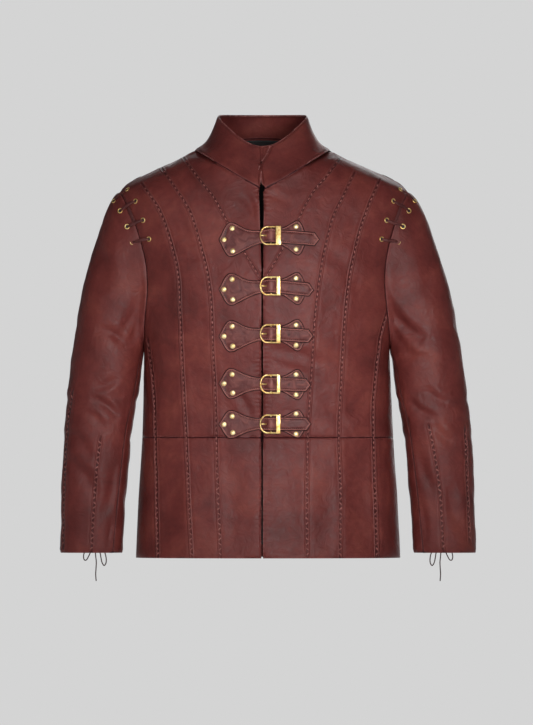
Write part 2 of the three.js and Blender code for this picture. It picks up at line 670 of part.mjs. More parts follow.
function addCollar() {
  const columns = 32;
  const heights = [0, 0.12, 0.34, 0.66, 1];
  const width = (up) => lerp(NECK_HALF, COLLAR_TOP_HALF, up ** 0.9);
  const angleAt = (x, up) => (Math.asin(-(x - drift(0)) / width(up)) * 180) / Math.PI;
  const rows = heights.map((up) => {
    const start = angleAt(lerp(-9.6, 12, up ** 1.9), up);
    const end = 360 + angleAt(lerp(-1.6, -6, up), up);
    return range(columns + 1).map((i) => {
      const degrees = lerp(start, end, i / columns);
      const p = collarPoint(degrees, up);
      const round = collarPoint(degrees + 2, up).sub(collarPoint(degrees - 2, up));
      const step = 0.05;
      const low = collarPoint(degrees, Math.max(0, up - step));
      const high = collarPoint(degrees, Math.min(1, up + step));
      const normal = round.cross(low.sub(high)).negate();
      if (up === 0) normal.z = 0; // the lower rim lies level on the panels
      return { point: p, normal: normal.normalize() };
    });
  });
  piece("collar", wall(rows, COLLAR_LEATHER), leather);
}

// ---------------------------------------------------------------- closures
/** A flat piece on the front from rows of x, half height, middle height and distance out. */
function strip(rows, thick) {
  const shares = [-1, 0, 1];
  const grid = rows.map((r) =>
    shares.map((s) => torsoPoint(r.x, r.middle + s * r.half, -1, r.out + thick)),
  );
  return wall(grid, thick);
}

/** Dome of a rivet on a piece whose face is a distance out of the front. */
function rivet(x, z, out) {
  const profile = [
    [0, -0.6],
    [RIVET_RADIUS, -0.6],
    [RIVET_RADIUS * 0.86, RIVET_DOME * 0.7],
    [0, RIVET_DOME],
  ].map(([r, h]) => new THREE.Vector2(r, h));
  const dome = new THREE.LatheGeometry(profile, 8).rotateX(Math.PI / 2);
  return dome.translate(0, 0, out).applyMatrix4(frontFrame(x, z));
}

const shieldHalf = (along, closure) => look(SHIELD, "along", along, "share") * (closure.shield / 2);

/** Middle height of the strap at x: from the shield through the buckle to the strap's end. */
function strapMiddle(x, closure) {
  if (x < BUCKLE.bar) {
    const t = clamp01((x + 40) / (BUCKLE.bar + 40));
    return lerp(closure.shieldZ, closure.buckleZ, t * t * (3 - 2 * t));
  }
  return lerp(closure.buckleZ, closure.endZ, clamp01((x - BUCKLE.bar) / (closure.endX - BUCKLE.bar)));
}

/** The prong: an arm from the middle bar up through the strap to the round end of the frame. */
function prongArm(radius) {
  const tip = BUCKLE.left + BUCKLE.rod + PRONG_RADIUS + 0.35;
  const points = [
    new THREE.Vector3(BUCKLE.bar - 2.4, 0, BUCKLE.barOut - 0.2),
    new THREE.Vector3(5.2, 0, 4.2),
    new THREE.Vector3(1, 0, tip - 1.6),
    new THREE.Vector3(-3, 0, tip - 0.2),
    new THREE.Vector3(-8.4, 0, tip),
  ];
  return rod(points, 2 * radius, 2 * radius, 6, 6);
}

/** A ring round the middle bar, between two heights along it. */
function barRing(inner, outer, from, to) {
  const outline = new THREE.Shape().absarc(0, 0, outer, 0, 2 * Math.PI);
  if (inner > 0) outline.holes.push(new THREE.Path().absarc(0, 0, inner, 0, 2 * Math.PI, true));
  const options = { depth: to - from, bevelEnabled: false, curveSegments: 4 };
  const ring = new THREE.ExtrudeGeometry(outline, options).translate(0, 0, from);
  return ring.rotateX(-Math.PI / 2).translate(BUCKLE.bar, 0, BUCKLE.barOut);
}

/** The frame bent round, its middle bar and its flat keeper bar, in the buckle's own frame. */
function buckleBody() {
  const b = BUCKLE;
  const end = b.keeper + 2;
  const height = (x) => lerp(b.left, b.keeperOut, clamp01((x - b.bar) / (b.keeper - b.bar)));
  const bend = range(9).map((i) => {
    const angle = radians(90 - 22.5 * i);
    const x = b.shoulder - b.round * Math.cos(angle);
    return new THREE.Vector3(x, b.half * Math.sin(angle), height(x));
  });
  const points = [
    new THREE.Vector3(end, b.half, height(end)),
    new THREE.Vector3(14, b.half, height(14)),
    ...bend,
    new THREE.Vector3(14, -b.half, height(14)),
    new THREE.Vector3(end, -b.half, height(end)),
  ];
  const frame = rod(points, 2 * b.rod, 2 * b.rod, 6, 15);
  const bar = barRing(0, b.barRadius, -b.half, b.half);
  const keeper = new THREE.BoxGeometry(b.keeperWide, 2 * (b.half + b.rod), b.keeperThick);
  keeper.translate(b.keeper, 0, b.keeperOut);
  return joined(frame, bar, keeper);
}

function addClosures() {
  CLOSURES.forEach((closure, k) => {
    const number = "_" + (k + 1);
    const middle = (x) => strapMiddle(x, closure);
    const place = frontFrame(BUCKLE.bar, closure.buckleZ);
    place.multiply(new THREE.Matrix4().makeTranslation(-BUCKLE.bar, 0, 0));
    const onBuckle = (geometry) => geometry.applyMatrix4(place);

    // Strap: a shield with three rivets that narrows to a belt end.
    const point = closure.endX;
    const belt = STRAP_RISE.map((row) => row.x).filter((x) => x > -14 && x < point - 10);
    const alongShield = SHIELD.map((row) => STRAP_START_X + row.along).filter((x) => x < -14);
    const stops = [...alongShield, ...belt, point - 8, point];
    const rows = stops.map((x) => ({
      x,
      half: x === point ? 1 : x < -14 ? shieldHalf(x - STRAP_START_X, closure) : STRAP_HALF,
      middle: middle(x),
      out: look(STRAP_RISE, "x", x, "out"),
    }));
    const face = ON_PANEL + STRAP_LEATHER;
    const reach = closure.shield / 2 - RIVET_INSET;
    const rivets = [
      rivet(STRAP_START_X + STRAP_RIVET_X.point, closure.shieldZ, face),
      rivet(STRAP_START_X + STRAP_RIVET_X.upper, closure.shieldZ + reach, face),
      rivet(STRAP_START_X + STRAP_RIVET_X.lower, closure.shieldZ - reach, face),
    ];
    const hole = solid(onBuckle(prongArm(PRONG_RADIUS + 0.4)));
    const strap = joined(strip(rows, STRAP_LEATHER), ...rivets).subtract(hole);
    piece("strap" + number, geometryOf(strap), darkLeather);

    // Tab: the opposite shield, folded round the buckle's middle bar.
    const onTab = ({ along }) => ({
      x: TAB_POINT_X - along * SHIELD_ON_TAB,
      half: shieldHalf(along, closure),
    });
    const neck = [TAB_TURN_X, BUCKLE.bar].map((x) => ({ x, half: TAB_NECK_HALF }));
    const tabRows = SHIELD.map(onTab)
      .filter((row) => row.x > TAB_SHIELD_X)
      .concat(neck)
      .reverse()
      .map((row) => ({ ...row, middle: middle(row.x), out: row.x > TAB_TURN_X ? ON_PANEL : 2 * ON_PANEL }));
    const outer = BUCKLE.barRadius + BAR_PLAY + LOOP_WALL;
    const loop = onBuckle(barRing(0, outer, -TAB_NECK_HALF, TAB_NECK_HALF));
    const bore = onBuckle(barRing(0, BUCKLE.barRadius + BAR_PLAY, -20, 20));
    const slot = new THREE.BoxGeometry(9, PRONG_SLOT, 12).translate(BUCKLE.bar, 0, BUCKLE.barOut);
    const tabFace = ON_PANEL + TAB_LEATHER;
    const rivetX = TAB_POINT_X - TAB_RIVET_X;
    const besideStrap = Math.max(reach, STRAP_HALF + RIVET_RADIUS + 2 * ON_PANEL);
    const tabRivets = [1, -1].map((s) => rivet(rivetX, middle(rivetX) + s * besideStrap, tabFace));
    const tab = joined(strip(tabRows, TAB_LEATHER), loop, ...tabRivets)
      .subtract(solid(bore))
      .subtract(solid(onBuckle(slot)));
    piece("tab" + number, geometryOf(tab), darkLeather);

    const buckle = onBuckle(geometryOf(buckleBody()));
    piece("buckle" + number, buckle, brass);
    const eye = barRing(BUCKLE.barRadius + BAR_PLAY, outer + 0.2, -1.6, 1.6);
    piece("prong" + number, onBuckle(geometryOf(joined(prongArm(PRONG_RADIUS), eye))), brass);
  });
}

// ---------------------------------------------------------------- shoulder laces
/** Where a line from the front meets the named pieces: the point and the normal. */
function frontHit(names, x, z) {
  const pieces = names.map((name) => jacket.getObjectByName(name));
  const ray = new THREE.Raycaster(new THREE.Vector3(x, -400, z), new THREE.Vector3(0, 1, 0));
  const hit = ray.intersectObjects(pieces)[0];
  return { point: hit.point, normal: hit.face.normal.clone() };
}

/** A flat band along a path of points, lying square to their normals. */
function band(path, wide, thick) {
  const rows = path.map((spot, i) => {
    const before = path[Math.max(0, i - 1)].point;
    const after = path[Math.min(path.length - 1, i + 1)].point;
    const across = after.clone().sub(before).cross(spot.normal).normalize();
    const edge = (s) => {
      const point = spot.point.clone().addScaledVector(across, (s * wide) / 2);
      return { point: point.addScaledVector(spot.normal, thick / 2), normal: spot.normal };
    };
    return [edge(-1), edge(1)];
  });
  return wall(rows, thick);
}

/** A flat eyelet at a hit, its face turned to the surface. */
function eyelet(hit) {
  const profile = [
    [0, 0],
    [EYELET_RADIUS, 0],
    [EYELET_RADIUS * 0.9, 1.1],
    [0, 1.3],
  ].map(([r, h]) => new THREE.Vector2(r, h));
  const turn = new THREE.Quaternion().setFromUnitVectors(new THREE.Vector3(0, 1, 0), hit.normal);
  const seat = hit.point.clone().addScaledVector(hit.normal, EYELET_SEAT);
  return new THREE.LatheGeometry(profile, 8).applyQuaternion(turn).translate(seat.x, seat.y, seat.z);
}

function addLaces() {
  for (const [name, hand] of [["right", -1], ["left", 1]])
    LACES.forEach((lace, k) => {
      const body = frontHit([`front_${name}_upper`], drift(lace.bodyZ) + hand * lace.body, lace.bodyZ);
      const sleeveX = drift(lace.sleeveZ) + hand * lace.sleeve;
      const sleeve = frontHit([`sleeve_${name}_top`], sleeveX, lace.sleeveZ);
      const out = (hit, distance) => hit.point.clone().addScaledVector(hit.normal, distance);
      const path = LACE_ARCH.map((row) => {
        const normal = body.normal.clone().lerp(sleeve.normal, row.share).normalize();
        const point = out(body, row.out).lerp(out(sleeve, row.out), row.share);
        return { point: point.addScaledVector(normal, row.bulge), normal };
      });
      const bar = band(path, LACE_WIDE, LACE_THICK);
      piece(`lace_${name}_${k + 1}`, geometryOf(joined(bar, eyelet(body), eyelet(sleeve))), darkLeather);
    });
}

// ---------------------------------------------------------------- cuff laces
// Free ends of the lace in each cuff: routes from the knot, as distances out from the middle line and
// down from the cuff's edge.
const KNOT = { half: 307, down: -5 };
const CUFF_ROUTES = [
  {
    name: "loop_outer",
    points: [
      { half: 310.4, down: -4.6 },
      { half: 315, down: -2 },
      { half: 318, down: 4 },
      { half: 322.5, down: 12 },
      { half: 326.5, down: 12.5 },
      { half: 328, down: 6 },
      { half: 325.5, down: -2.2 },
      { half: 318, down: -6.2 },
      { half: 310.8, down: -7.4 },
    ],
  },
  {
    name: "loop_inner",
    points: [
      { half: 303.6, down: -4.4 },
      { half: 299, down: -1 },
      { half: 297.2, down: 8 },
      { half: 295.2, down: 17 },
      { half: 291.4, down: 22.5 },
      { half: 288, down: 17 },
      { half: 288.2, down: 7 },
      { half: 291.5, down: -2.6 },
      { half: 297.5, down: -6.4 },
      { half: 303.2, down: -7.6 },
    ],
  },
  {
    name: "tail",
    points: [
      { half: 307, down: -2.2 },
      { half: 306.4, down: 6 },
      { half: 305.4, down: 16 },
      { half: 305.8, down: 27 },
      { half: 306.4, down: 38 },
      { half: 305.6, down: 50 },
    ],
  },
];

function addCuffLaces() {
  for (const [name, hand] of [["right", -1], ["left", 1]]) {
    const x = (half) => drift(CUFF_Z) + hand * half;
    const inside = (half) =>
      frontHit([`sleeve_${name}_top`], x(half), CUFF_Z + 6).point.y + LEATHER + CORD / 2 + 2.2;
    const knot = new THREE.SphereGeometry(3, 8, 5).scale(1, 0.8, 0.85);
    piece("knot_" + name, knot.translate(x(KNOT.half), inside(KNOT.half), CUFF_Z - KNOT.down), darkLeather);
    for (const route of CUFF_ROUTES) {
      const points = route.points.map(
        ({ half, down }) => new THREE.Vector3(x(half), inside(half), CUFF_Z - down),
      );
      piece(`${route.name}_${name}`, rod(points, CORD, CORD, 8, 12), darkLeather);
    }
  }
}

addTorso();
addLining();
addSleeves();
addCollar();
addClosures();
addLaces();
addCuffLaces();

export default jacket;
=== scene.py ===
"""Leather jacket with a stand collar, five buckled closures and laced shoulders.

Lengths in the tables are in millimetres. Points are in the part's frame: +Z up, the front towards -Y and
+X to the wearer's left. Meshes are in metres.
"""

import logging
import math
from dataclasses import dataclass, field
from enum import Enum
from typing import Any, Callable, Iterable, Sequence

import bmesh
import bpy
import numpy as np
from mathutils import Matrix, Vector, noise
from mathutils.bvhtree import BVHTree
from mathutils.kdtree import KDTree


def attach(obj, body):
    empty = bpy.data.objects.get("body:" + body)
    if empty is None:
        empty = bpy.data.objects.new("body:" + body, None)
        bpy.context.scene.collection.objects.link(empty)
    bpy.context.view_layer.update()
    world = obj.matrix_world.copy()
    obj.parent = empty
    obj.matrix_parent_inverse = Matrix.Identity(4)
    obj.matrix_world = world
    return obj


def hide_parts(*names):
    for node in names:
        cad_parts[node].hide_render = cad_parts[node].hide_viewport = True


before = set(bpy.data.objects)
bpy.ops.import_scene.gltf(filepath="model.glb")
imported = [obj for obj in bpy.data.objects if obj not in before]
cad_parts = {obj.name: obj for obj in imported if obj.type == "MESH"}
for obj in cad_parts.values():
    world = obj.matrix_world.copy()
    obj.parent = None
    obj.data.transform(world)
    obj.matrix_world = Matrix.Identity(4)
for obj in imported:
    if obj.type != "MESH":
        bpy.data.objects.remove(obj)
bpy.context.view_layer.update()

MM = 0.001
BODY = "root"
log = logging.getLogger("jacket")
Shape = tuple[np.ndarray, list[tuple[int, ...]]]  # points and faces of a modelled thing


# ---- enums
class Side(Enum):
    """The wearer's right and left, as the sign of x."""

    RIGHT = -1
    LEFT = 1

    @property
    def word(self) -> str:
        """The side's name in node names."""
        return self.name.lower()


class Facing(Enum):
    """The direction that a crease is drawn from."""

    FRONT = "front"
    BACK = "back"
    OUTER = "outer"


class Sewing(Enum):
    """How a lace is sewn: length of each raised bit in millimetres and its turn from the line in degrees."""

    RUNNING = (5.2, 16.0)
    WHIPPED = (7.4, 50.0)


class Slot(Enum):
    """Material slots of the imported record."""

    LEATHER = "leather"
    STRAP = "strap_leather"
    BRASS = "brass"
    LINING = "lining"
    LACE = "lace"


# ---- small tools
def linear(code: str) -> tuple[float, float, float, float]:
    """Turns an sRGB hex colour into linear values.

    Args:
        code: Colour such as "#70403c".

    Returns:
        Linear red, green and blue with alpha 1.
    """
    parts = [int(code[i : i + 2], 16) / 255 for i in (1, 3, 5)]
    values = [c / 12.92 if c <= 0.04045 else ((c + 0.055) / 1.055) ** 2.4 for c in parts]
    return (values[0], values[1], values[2], 1.0)


def add_node(
    tree: bpy.types.NodeTree, kind: str, settings: dict[Any, Any] | None = None,
    links: dict[Any, Any] | None = None,
) -> bpy.types.Node:
    """Adds one shader node.

    Args:
        tree: Node tree that takes the node.
        kind: Blender's name of the node type.
        settings: Input values by input name or number, and plain properties by name.
        links: Output sockets to link, by input name or number.

    Returns:
        The new node.
    """
    node = tree.nodes.new(kind)
    for key, value in (settings or {}).items():
        if isinstance(key, int) or key in node.inputs:
            node.inputs[key].default_value = value
        else:
            setattr(node, key, value)
    for key, source in (links or {}).items():
        tree.links.new(source, node.inputs[key])
    return node


def new_material(name: str) -> tuple[bpy.types.Material, bpy.types.NodeTree, bpy.types.Node, Any]:
    """Makes a material with nodes.

    Args:
        name: Name of the material.

    Returns:
        The material, its node tree, its shader and the socket of the object coordinates.
    """
    material = bpy.data.materials.new(name)
    material.use_nodes = True
    tree = material.node_tree
    place = add_node(tree, "ShaderNodeTexCoord").outputs["Object"]
    return material, tree, tree.nodes["Principled BSDF"], place


def table_value(rows: Sequence[tuple[float, float]], at: float) -> float:
    """Reads a smooth curve through a table that never overshoots its rows.

    Args:
        rows: Pairs of place and value with rising places.
        at: Place to read.

    Returns:
        The value there, held at the ends.
    """
    if at <= rows[0][0]:
        return rows[0][1]
    if at >= rows[-1][0]:
        return rows[-1][1]
    i = max(k for k in range(len(rows) - 1) if rows[k][0] <= at)
    slope = [(b[1] - a[1]) / (b[0] - a[0]) for a, b in zip(rows, rows[1:])]

    def tangent(k: int) -> float:
        """Slope of the curve at one row."""
        if k in (0, len(rows) - 1):
            return slope[min(k, len(slope) - 1)]
        a, b = slope[k - 1], slope[k]
        return 0.0 if a * b <= 0 else 2 * a * b / (a + b)

    width = rows[i + 1][0] - rows[i][0]
    t = (at - rows[i][0]) / width
    start = rows[i][1] * (1 + 2 * t) * (1 - t) ** 2 + tangent(i) * width * t * (1 - t) ** 2
    end = rows[i + 1][1] * t * t * (3 - 2 * t) + tangent(i + 1) * width * t * t * (t - 1)
    return start + end


def smooth_line(points: Sequence[Sequence[float]], step: float) -> np.ndarray:
    """Draws a smooth line through points, in steps of even length.

    Args:
        points: Points of two or three coordinates.
        step: Length of one step, in the points' own unit.

    Returns:
        Array of points along a Catmull-Rom curve.
    """
    p = np.array(points, float)
    p = np.vstack([2 * p[0] - p[1], p, 2 * p[-1] - p[-2]])
    dense = []
    for a, b, c, d in zip(p, p[1:], p[2:], p[3:]):
        square, cube = 2 * a - 5 * b + 4 * c - d, 3 * b - a - 3 * c + d
        for t in np.linspace(0, 1, 24, endpoint=False):
            dense.append(0.5 * (2 * b + (c - a) * t + square * t**2 + cube * t**3))
    dense.append(p[-2])
    line = np.array(dense)
    along = np.concatenate([[0], np.cumsum(np.linalg.norm(np.diff(line, axis=0), axis=1))])
    count = max(2, round(along[-1] / step) + 1)
    want = np.linspace(0, along[-1], count)
    return np.stack([np.interp(want, along, line[:, k]) for k in range(line.shape[1])], axis=1)


def line_length(line: np.ndarray) -> float:
    """Length of a line of points."""
    return float(np.linalg.norm(np.diff(line, axis=0), axis=1).sum())


def off_line(points: np.ndarray, line: np.ndarray) -> tuple[np.ndarray, np.ndarray, np.ndarray]:
    """Measures points against a line in their plane.

    Args:
        points: Array of points of two coordinates.
        line: Array of points along the line.

    Returns:
        Distance from the line, signed distance across it and length along it, for each point.
    """
    near = np.full(len(points), np.inf)
    across = np.zeros(len(points))
    along = np.zeros(len(points))
    start = 0.0
    for a, b in zip(line, line[1:]):
        edge = b - a
        length = float(np.hypot(*edge))
        t = np.clip(((points - a) @ edge) / length**2, 0, 1)
        off = points - a - t[:, None] * edge
        distance = np.hypot(off[:, 0], off[:, 1])
        closer = distance < near
        near[closer] = distance[closer]
        side = (edge[0] * off[:, 1] - edge[1] * off[:, 0]) / length
        across[closer] = side[closer]
        along[closer] = (start + t * length)[closer]
        start += length
    return near, across, along


def select_only(piece: bpy.types.Object) -> None:
    """Deselects everything and makes one object selected and active."""
    for other in bpy.context.selected_objects:
        other.select_set(False)
    piece.select_set(True)
    bpy.context.view_layer.objects.active = piece


def coordinates(piece: bpy.types.Object) -> np.ndarray:
    """All vertices of a mesh object as an array."""
    values = np.empty(len(piece.data.vertices) * 3)
    piece.data.vertices.foreach_get("co", values)
    return values.reshape(-1, 3)


def set_coordinates(piece: bpy.types.Object, values: np.ndarray) -> None:
    """Writes all vertices of a mesh object."""
    piece.data.vertices.foreach_set("co", values.astype(np.float32).ravel())
    piece.data.update()


def normals(piece: bpy.types.Object) -> np.ndarray:
    """All vertex normals of a mesh object as an array."""
    values = np.empty(len(piece.data.vertices) * 3)
    piece.data.vertex_normals.foreach_get("vector", values)
    return values.reshape(-1, 3)


def set_attribute(piece: bpy.types.Object, name: str, values: np.ndarray) -> None:
    """Stores one number for each vertex under a name that materials can read."""
    layer = piece.data.attributes.new(name, "FLOAT", "POINT")
    layer.data.foreach_set("value", values.astype(np.float32))


def apply_modifier(piece: bpy.types.Object, kind: str, **settings: Any) -> None:
    """Adds a modifier to an object and applies it.

    Args:
        piece: Object that takes the modifier.
        kind: Blender's name of the modifier type.
        settings: Properties of the modifier.
    """
    modifier = piece.modifiers.new(kind.title(), kind)
    for key, value in settings.items():
        setattr(modifier, key, value)
    select_only(piece)
    bpy.ops.object.modifier_apply(modifier=modifier.name)


def finish_piece(
    piece: bpy.types.Object, name: str, materials: Sequence[bpy.types.Material],
    replaces: Iterable[str] = (), angle: float = 50,
) -> bpy.types.Object:
    """Args:
        piece: Mesh object with its place in its mesh.
        name: Name of the piece.
        materials: Materials in the order of the mesh's material numbers.
        replaces: CAD nodes that the piece stands for.
        angle: Edges sharper than this many degrees stay sharp.

    Returns:
        The same object.
    """
    piece.name = name
    piece.data.name = name
    piece.data.materials.clear()
    for material in materials:
        piece.data.materials.append(material)
    select_only(piece)
    bpy.ops.object.shade_smooth_by_angle(angle=math.radians(angle))
    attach(piece, BODY)
    if replaces:
        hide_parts(*replaces)
    log.info("%s: %d faces", name, len(piece.data.polygons))
    return piece


def mesh_object(name: str, points: Any, faces: Any) -> bpy.types.Object:
    """Makes a linked mesh object from points in metres and faces."""
    mesh = bpy.data.meshes.new(name)
    mesh.from_pydata([tuple(p) for p in points], [], [tuple(f) for f in faces])
    mesh.validate()
    mesh.update()
    piece = bpy.data.objects.new(name, mesh)
    bpy.context.scene.collection.objects.link(piece)
    return piece


def take_mesh(piece: bpy.types.Object) -> Shape:
    """Removes a modelled object and returns its points and faces, for copies of it."""
    points = coordinates(piece)
    faces = [tuple(p.vertices) for p in piece.data.polygons]
    bpy.data.objects.remove(piece)
    return points, faces


def copies(name: str, shape: Shape, places: Sequence[Matrix]) -> bpy.types.Object:
    """Joins many placed copies of one modelled shape into one object.

    Args:
        name: Name of the new object.
        shape: Points and faces of the shape.
        places: Matrix of each copy.

    Returns:
        The joined mesh object.
    """
    points, faces = shape
    all_points = []
    all_faces = []
    for number, place in enumerate(places):
        m = np.array(place)
        all_points.append(points @ m[:3, :3].T + m[:3, 3])
        start = number * len(points)
        all_faces.extend(tuple(start + i for i in f) for f in faces)
    return mesh_object(name, np.vstack(all_points), all_faces)


def place_on(point: Vector, normal: Vector, towards: Vector, out: float = 0.0) -> Matrix:
    """Builds the frame of a small thing on a surface.

    Args:
        point: Point of the surface.
        normal: Normal there, the thing's local z.
        towards: Direction of the thing's local x, before it is laid in the surface.
        out: Distance out of the surface, in metres.

    Returns:
        Matrix from the thing's own frame to the part's frame.
    """
    z = normal.normalized()
    x = (towards - z * towards.dot(z)).normalized()
    y = z.cross(x)
    turn = Matrix((x, y, z)).transposed().to_4x4()
    turn.translation = point + z * out
    return turn


# ---- finishes
@dataclass(frozen=True)
class AnilineLeather:
    """Aniline-dyed nappa: dye goes through the hide, so it clouds over centimetres, and the fine pores show.

    A thin wax finish gives a soft satin sheen that is duller where the hide is pulled or rubbed.
    """

    name: str = "burgundy_aniline_nappa"
    dark: str = "#5f2825"
    middle: str = "#72322e"
    light: str = "#844038"
    # painted shade: the dark of the seam lines, the stitch slots and the sewn grooves
    groove: str = "#37131a"
    # paler colour for wear, also a painted highlight on rolled edges, seam lips and the hide puffed beside
    # the stitches
    rubbed: str = "#a06a66"
    cloud: float = 70.0  # size of the dye clouds
    mottle: float = 9.0  # size of the small patches where the wax is thinner
    pore: float = 1.5  # pores are 0.3 mm apart in nappa, drawn coarser so that they show
    roughness: float = 0.46
    bump: float = 0.35

    def build(self) -> bpy.types.Material:
        """Makes the material.

        Returns:
            A material that reads the attributes rim, free, stitch, along, across and pucker.
        """
        material, tree, shader, place = new_material(self.name)
        cloud = add_node(
            tree, "ShaderNodeTexNoise",
            {"Scale": 1 / (self.cloud * MM), "Detail": 5.0, "Roughness": 0.6, "Distortion": 0.4},
            {"Vector": place})
        mottle = add_node(
            tree, "ShaderNodeTexNoise", {"Scale": 1 / (self.mottle * MM), "Detail": 4.0, "Roughness": 0.65},
            {"Vector": place})
        ramp = add_node(tree, "ShaderNodeValToRGB", {}, {"Fac": cloud.outputs["Fac"]})
        ramp.color_ramp.elements[0].position = 0.3
        ramp.color_ramp.elements[0].color = linear(self.dark)
        ramp.color_ramp.elements[1].position = 0.72
        ramp.color_ramp.elements[1].color = linear(self.light)
        ramp.color_ramp.elements.new(0.5).color = linear(self.middle)
        patch = add_node(
            tree, "ShaderNodeMapRange", {"From Min": 0.35, "From Max": 0.75, "To Min": 0.9, "To Max": 1.12},
            {"Value": mottle.outputs["Fac"]})
        tinted = add_node(
            tree, "ShaderNodeVectorMath", {"operation": "SCALE"},
            {0: ramp.outputs["Color"], "Scale": patch.outputs["Result"]})
        slot, puff = self.stitch_marks(tree)
        # painted shade along seams and grooves, and wear with a painted highlight on lips and rolled edges
        seam_and_groove_shade, wear, fold = self.edge_marks(tree, mottle.outputs["Fac"])
        lighter = self.blend(tree, tinted.outputs["Vector"], self.rubbed, wear)
        # painted highlight on the hide that puffs up beside the stitches
        raised = add_node(tree, "ShaderNodeMath", {"operation": "MULTIPLY", 1: 0.14}, {0: puff})
        lighter = self.blend(tree, lighter, self.rubbed, raised.outputs["Value"])
        # painted shade in the stitch slots, the seam lines and the sewn grooves
        deep = add_node(tree, "ShaderNodeMath", {"operation": "MAXIMUM"}, {0: slot, 1: seam_and_groove_shade})
        finished = self.blend(tree, lighter, self.groove, deep.outputs["Value"])
        tree.links.new(finished, shader.inputs["Base Color"])
        rough = add_node(
            tree,
            "ShaderNodeMapRange",
            {"From Min": 0.3, "From Max": 0.7,
             "To Min": self.roughness - 0.07, "To Max": self.roughness + 0.1},
            {"Value": mottle.outputs["Fac"]},
        )
        tree.links.new(rough.outputs["Result"], shader.inputs["Roughness"])
        tree.links.new(self.relief(tree, place, slot, puff, fold), shader.inputs["Normal"])
        shader.inputs["Specular IOR Level"].default_value = 0.22
        return material

    @staticmethod
    def blend(tree: bpy.types.NodeTree, colour: Any, other: str, share: Any) -> Any:
        """Mixes a share of another colour into a colour and returns the socket."""
        mix = add_node(tree, "ShaderNodeMix", {"data_type": "RGBA"}, {"Factor": share})
        sockets = [s for s in mix.inputs if s.type == "RGBA"]
        tree.links.new(colour, sockets[0])
        sockets[1].default_value = linear(other)
        return next(s for s in mix.outputs if s.type == "RGBA")

    @staticmethod
    def step(tree: bpy.types.NodeTree, value: Any, start: float, end: float, top: float = 1.0) -> Any:
        """Rises smoothly from 0 at start to top at end, or falls where end is the lower one."""
        node = add_node(
            tree, "ShaderNodeMapRange",
            {"From Min": start, "From Max": end, "To Max": top, "interpolation_type": "SMOOTHSTEP"},
            {"Value": value})
        return node.outputs["Result"]

    @staticmethod
    def product(tree: bpy.types.NodeTree, *factors: Any) -> Any:
        """Multiplies sockets."""
        result = factors[0]
        for factor in factors[1:]:
            node = add_node(tree, "ShaderNodeMath", {"operation": "MULTIPLY"}, {0: result, 1: factor})
            result = node.outputs["Value"]
        return result

    def edge_marks(self, tree: bpy.types.NodeTree, mottle: Any) -> tuple[Any, Any, Any]:
        """Draws seams as a line of painted shade with a painted highlight on the lip beside it, and free
        edges as a roll painted lighter for wear and a painted highlight, with a sewn groove in faint painted
        shade.

        Args:
            tree: Node tree that takes the nodes.
            mottle: Socket of the small patches, which break up the wear and the painted highlight.

        Returns:
            Sockets of the painted shade, of the wear and painted highlight, and of the groove's depth, 0 to
            1.
        """
        rim = add_node(tree, "ShaderNodeAttribute", {"attribute_name": "rim"}).outputs["Fac"]
        free = add_node(tree, "ShaderNodeAttribute", {"attribute_name": "free"}).outputs["Fac"]
        sewn = self.step(tree, free, 0.6, 0.4)
        # painted shade along the seams
        seam = self.product(tree, self.step(tree, rim, 1.5, 0.4, 0.9), sewn)
        groove_in = self.step(tree, rim, 3.0, 3.9)
        groove_out = self.step(tree, rim, 5.0, 4.1)
        groove = self.product(tree, groove_in, groove_out, self.step(tree, free, 0.7, 0.9))
        # painted highlight on the raised lip beside a seam
        lip = self.product(tree, self.step(tree, rim, 1.2, 1.9), self.step(tree, rim, 4.0, 2.4, 0.2), sewn)
        # rolled free edges painted lighter, for wear and a painted highlight
        roll = self.product(tree, self.step(tree, rim, 2.6, 0.8, 0.85), free, free)
        broken = self.step(tree, mottle, 0.3, 0.62)
        wear = add_node(tree, "ShaderNodeMath", {"operation": "ADD"}, {0: lip, 1: roll}).outputs["Value"]
        # faint painted shade in the sewn groove
        faint = add_node(tree, "ShaderNodeMath", {"operation": "MULTIPLY", 1: 0.16}, {0: groove})
        dark = add_node(
            tree, "ShaderNodeMath", {"operation": "MAXIMUM"}, {0: seam, 1: faint.outputs["Value"]})
        return dark.outputs["Value"], self.product(tree, wear, broken), groove

    def stitch_marks(self, tree: bpy.types.NodeTree) -> tuple[Any, Any]:
        """Draws the slots that the lace is sewn through and the hide that puffs up beside them; the finish
        bumps both, paints the slots dark as painted shade and the puffs lighter as a painted highlight.

        Args:
            tree: Node tree that takes the nodes.

        Returns:
            Sockets of the slots, which carry painted shade, and of the puffs, which carry a painted
            highlight, 0 to 1.
        """
        near = add_node(tree, "ShaderNodeAttribute", {"attribute_name": "stitch"}).outputs["Fac"]
        along = add_node(tree, "ShaderNodeAttribute", {"attribute_name": "along"}).outputs["Fac"]
        across = add_node(tree, "ShaderNodeAttribute", {"attribute_name": "across"}).outputs["Fac"]
        slant = add_node(
            tree, "ShaderNodeMath", {"operation": "MULTIPLY_ADD", 1: 0.05}, {0: across, 2: along})
        turn = add_node(tree, "ShaderNodeMath", {"operation": "FRACT"}, {0: slant.outputs["Value"]})
        middle = add_node(
            tree, "ShaderNodeMath", {"operation": "SUBTRACT", 1: 0.5}, {0: turn.outputs["Value"]})
        off = add_node(tree, "ShaderNodeMath", {"operation": "ABSOLUTE"}, {0: middle.outputs["Value"]})
        side = add_node(tree, "ShaderNodeMath", {"operation": "ABSOLUTE"}, {0: across}).outputs["Value"]
        between = self.step(tree, off.outputs["Value"], 0.2, 0.34)
        # painted shade in the slots
        slot = self.product(tree, between, self.step(tree, side, 2.0, 1.0, 0.6), near)
        # painted shade along the stitched line
        line = self.product(tree, self.step(tree, side, 1.5, 0.5, 0.3), near)
        beside = self.product(tree, self.step(tree, side, 1.4, 2.4), self.step(tree, side, 5.2, 2.8))
        puff = self.product(tree, beside, near)
        marks = add_node(tree, "ShaderNodeMath", {"operation": "MAXIMUM"}, {0: slot, 1: line})
        return marks.outputs["Value"], puff

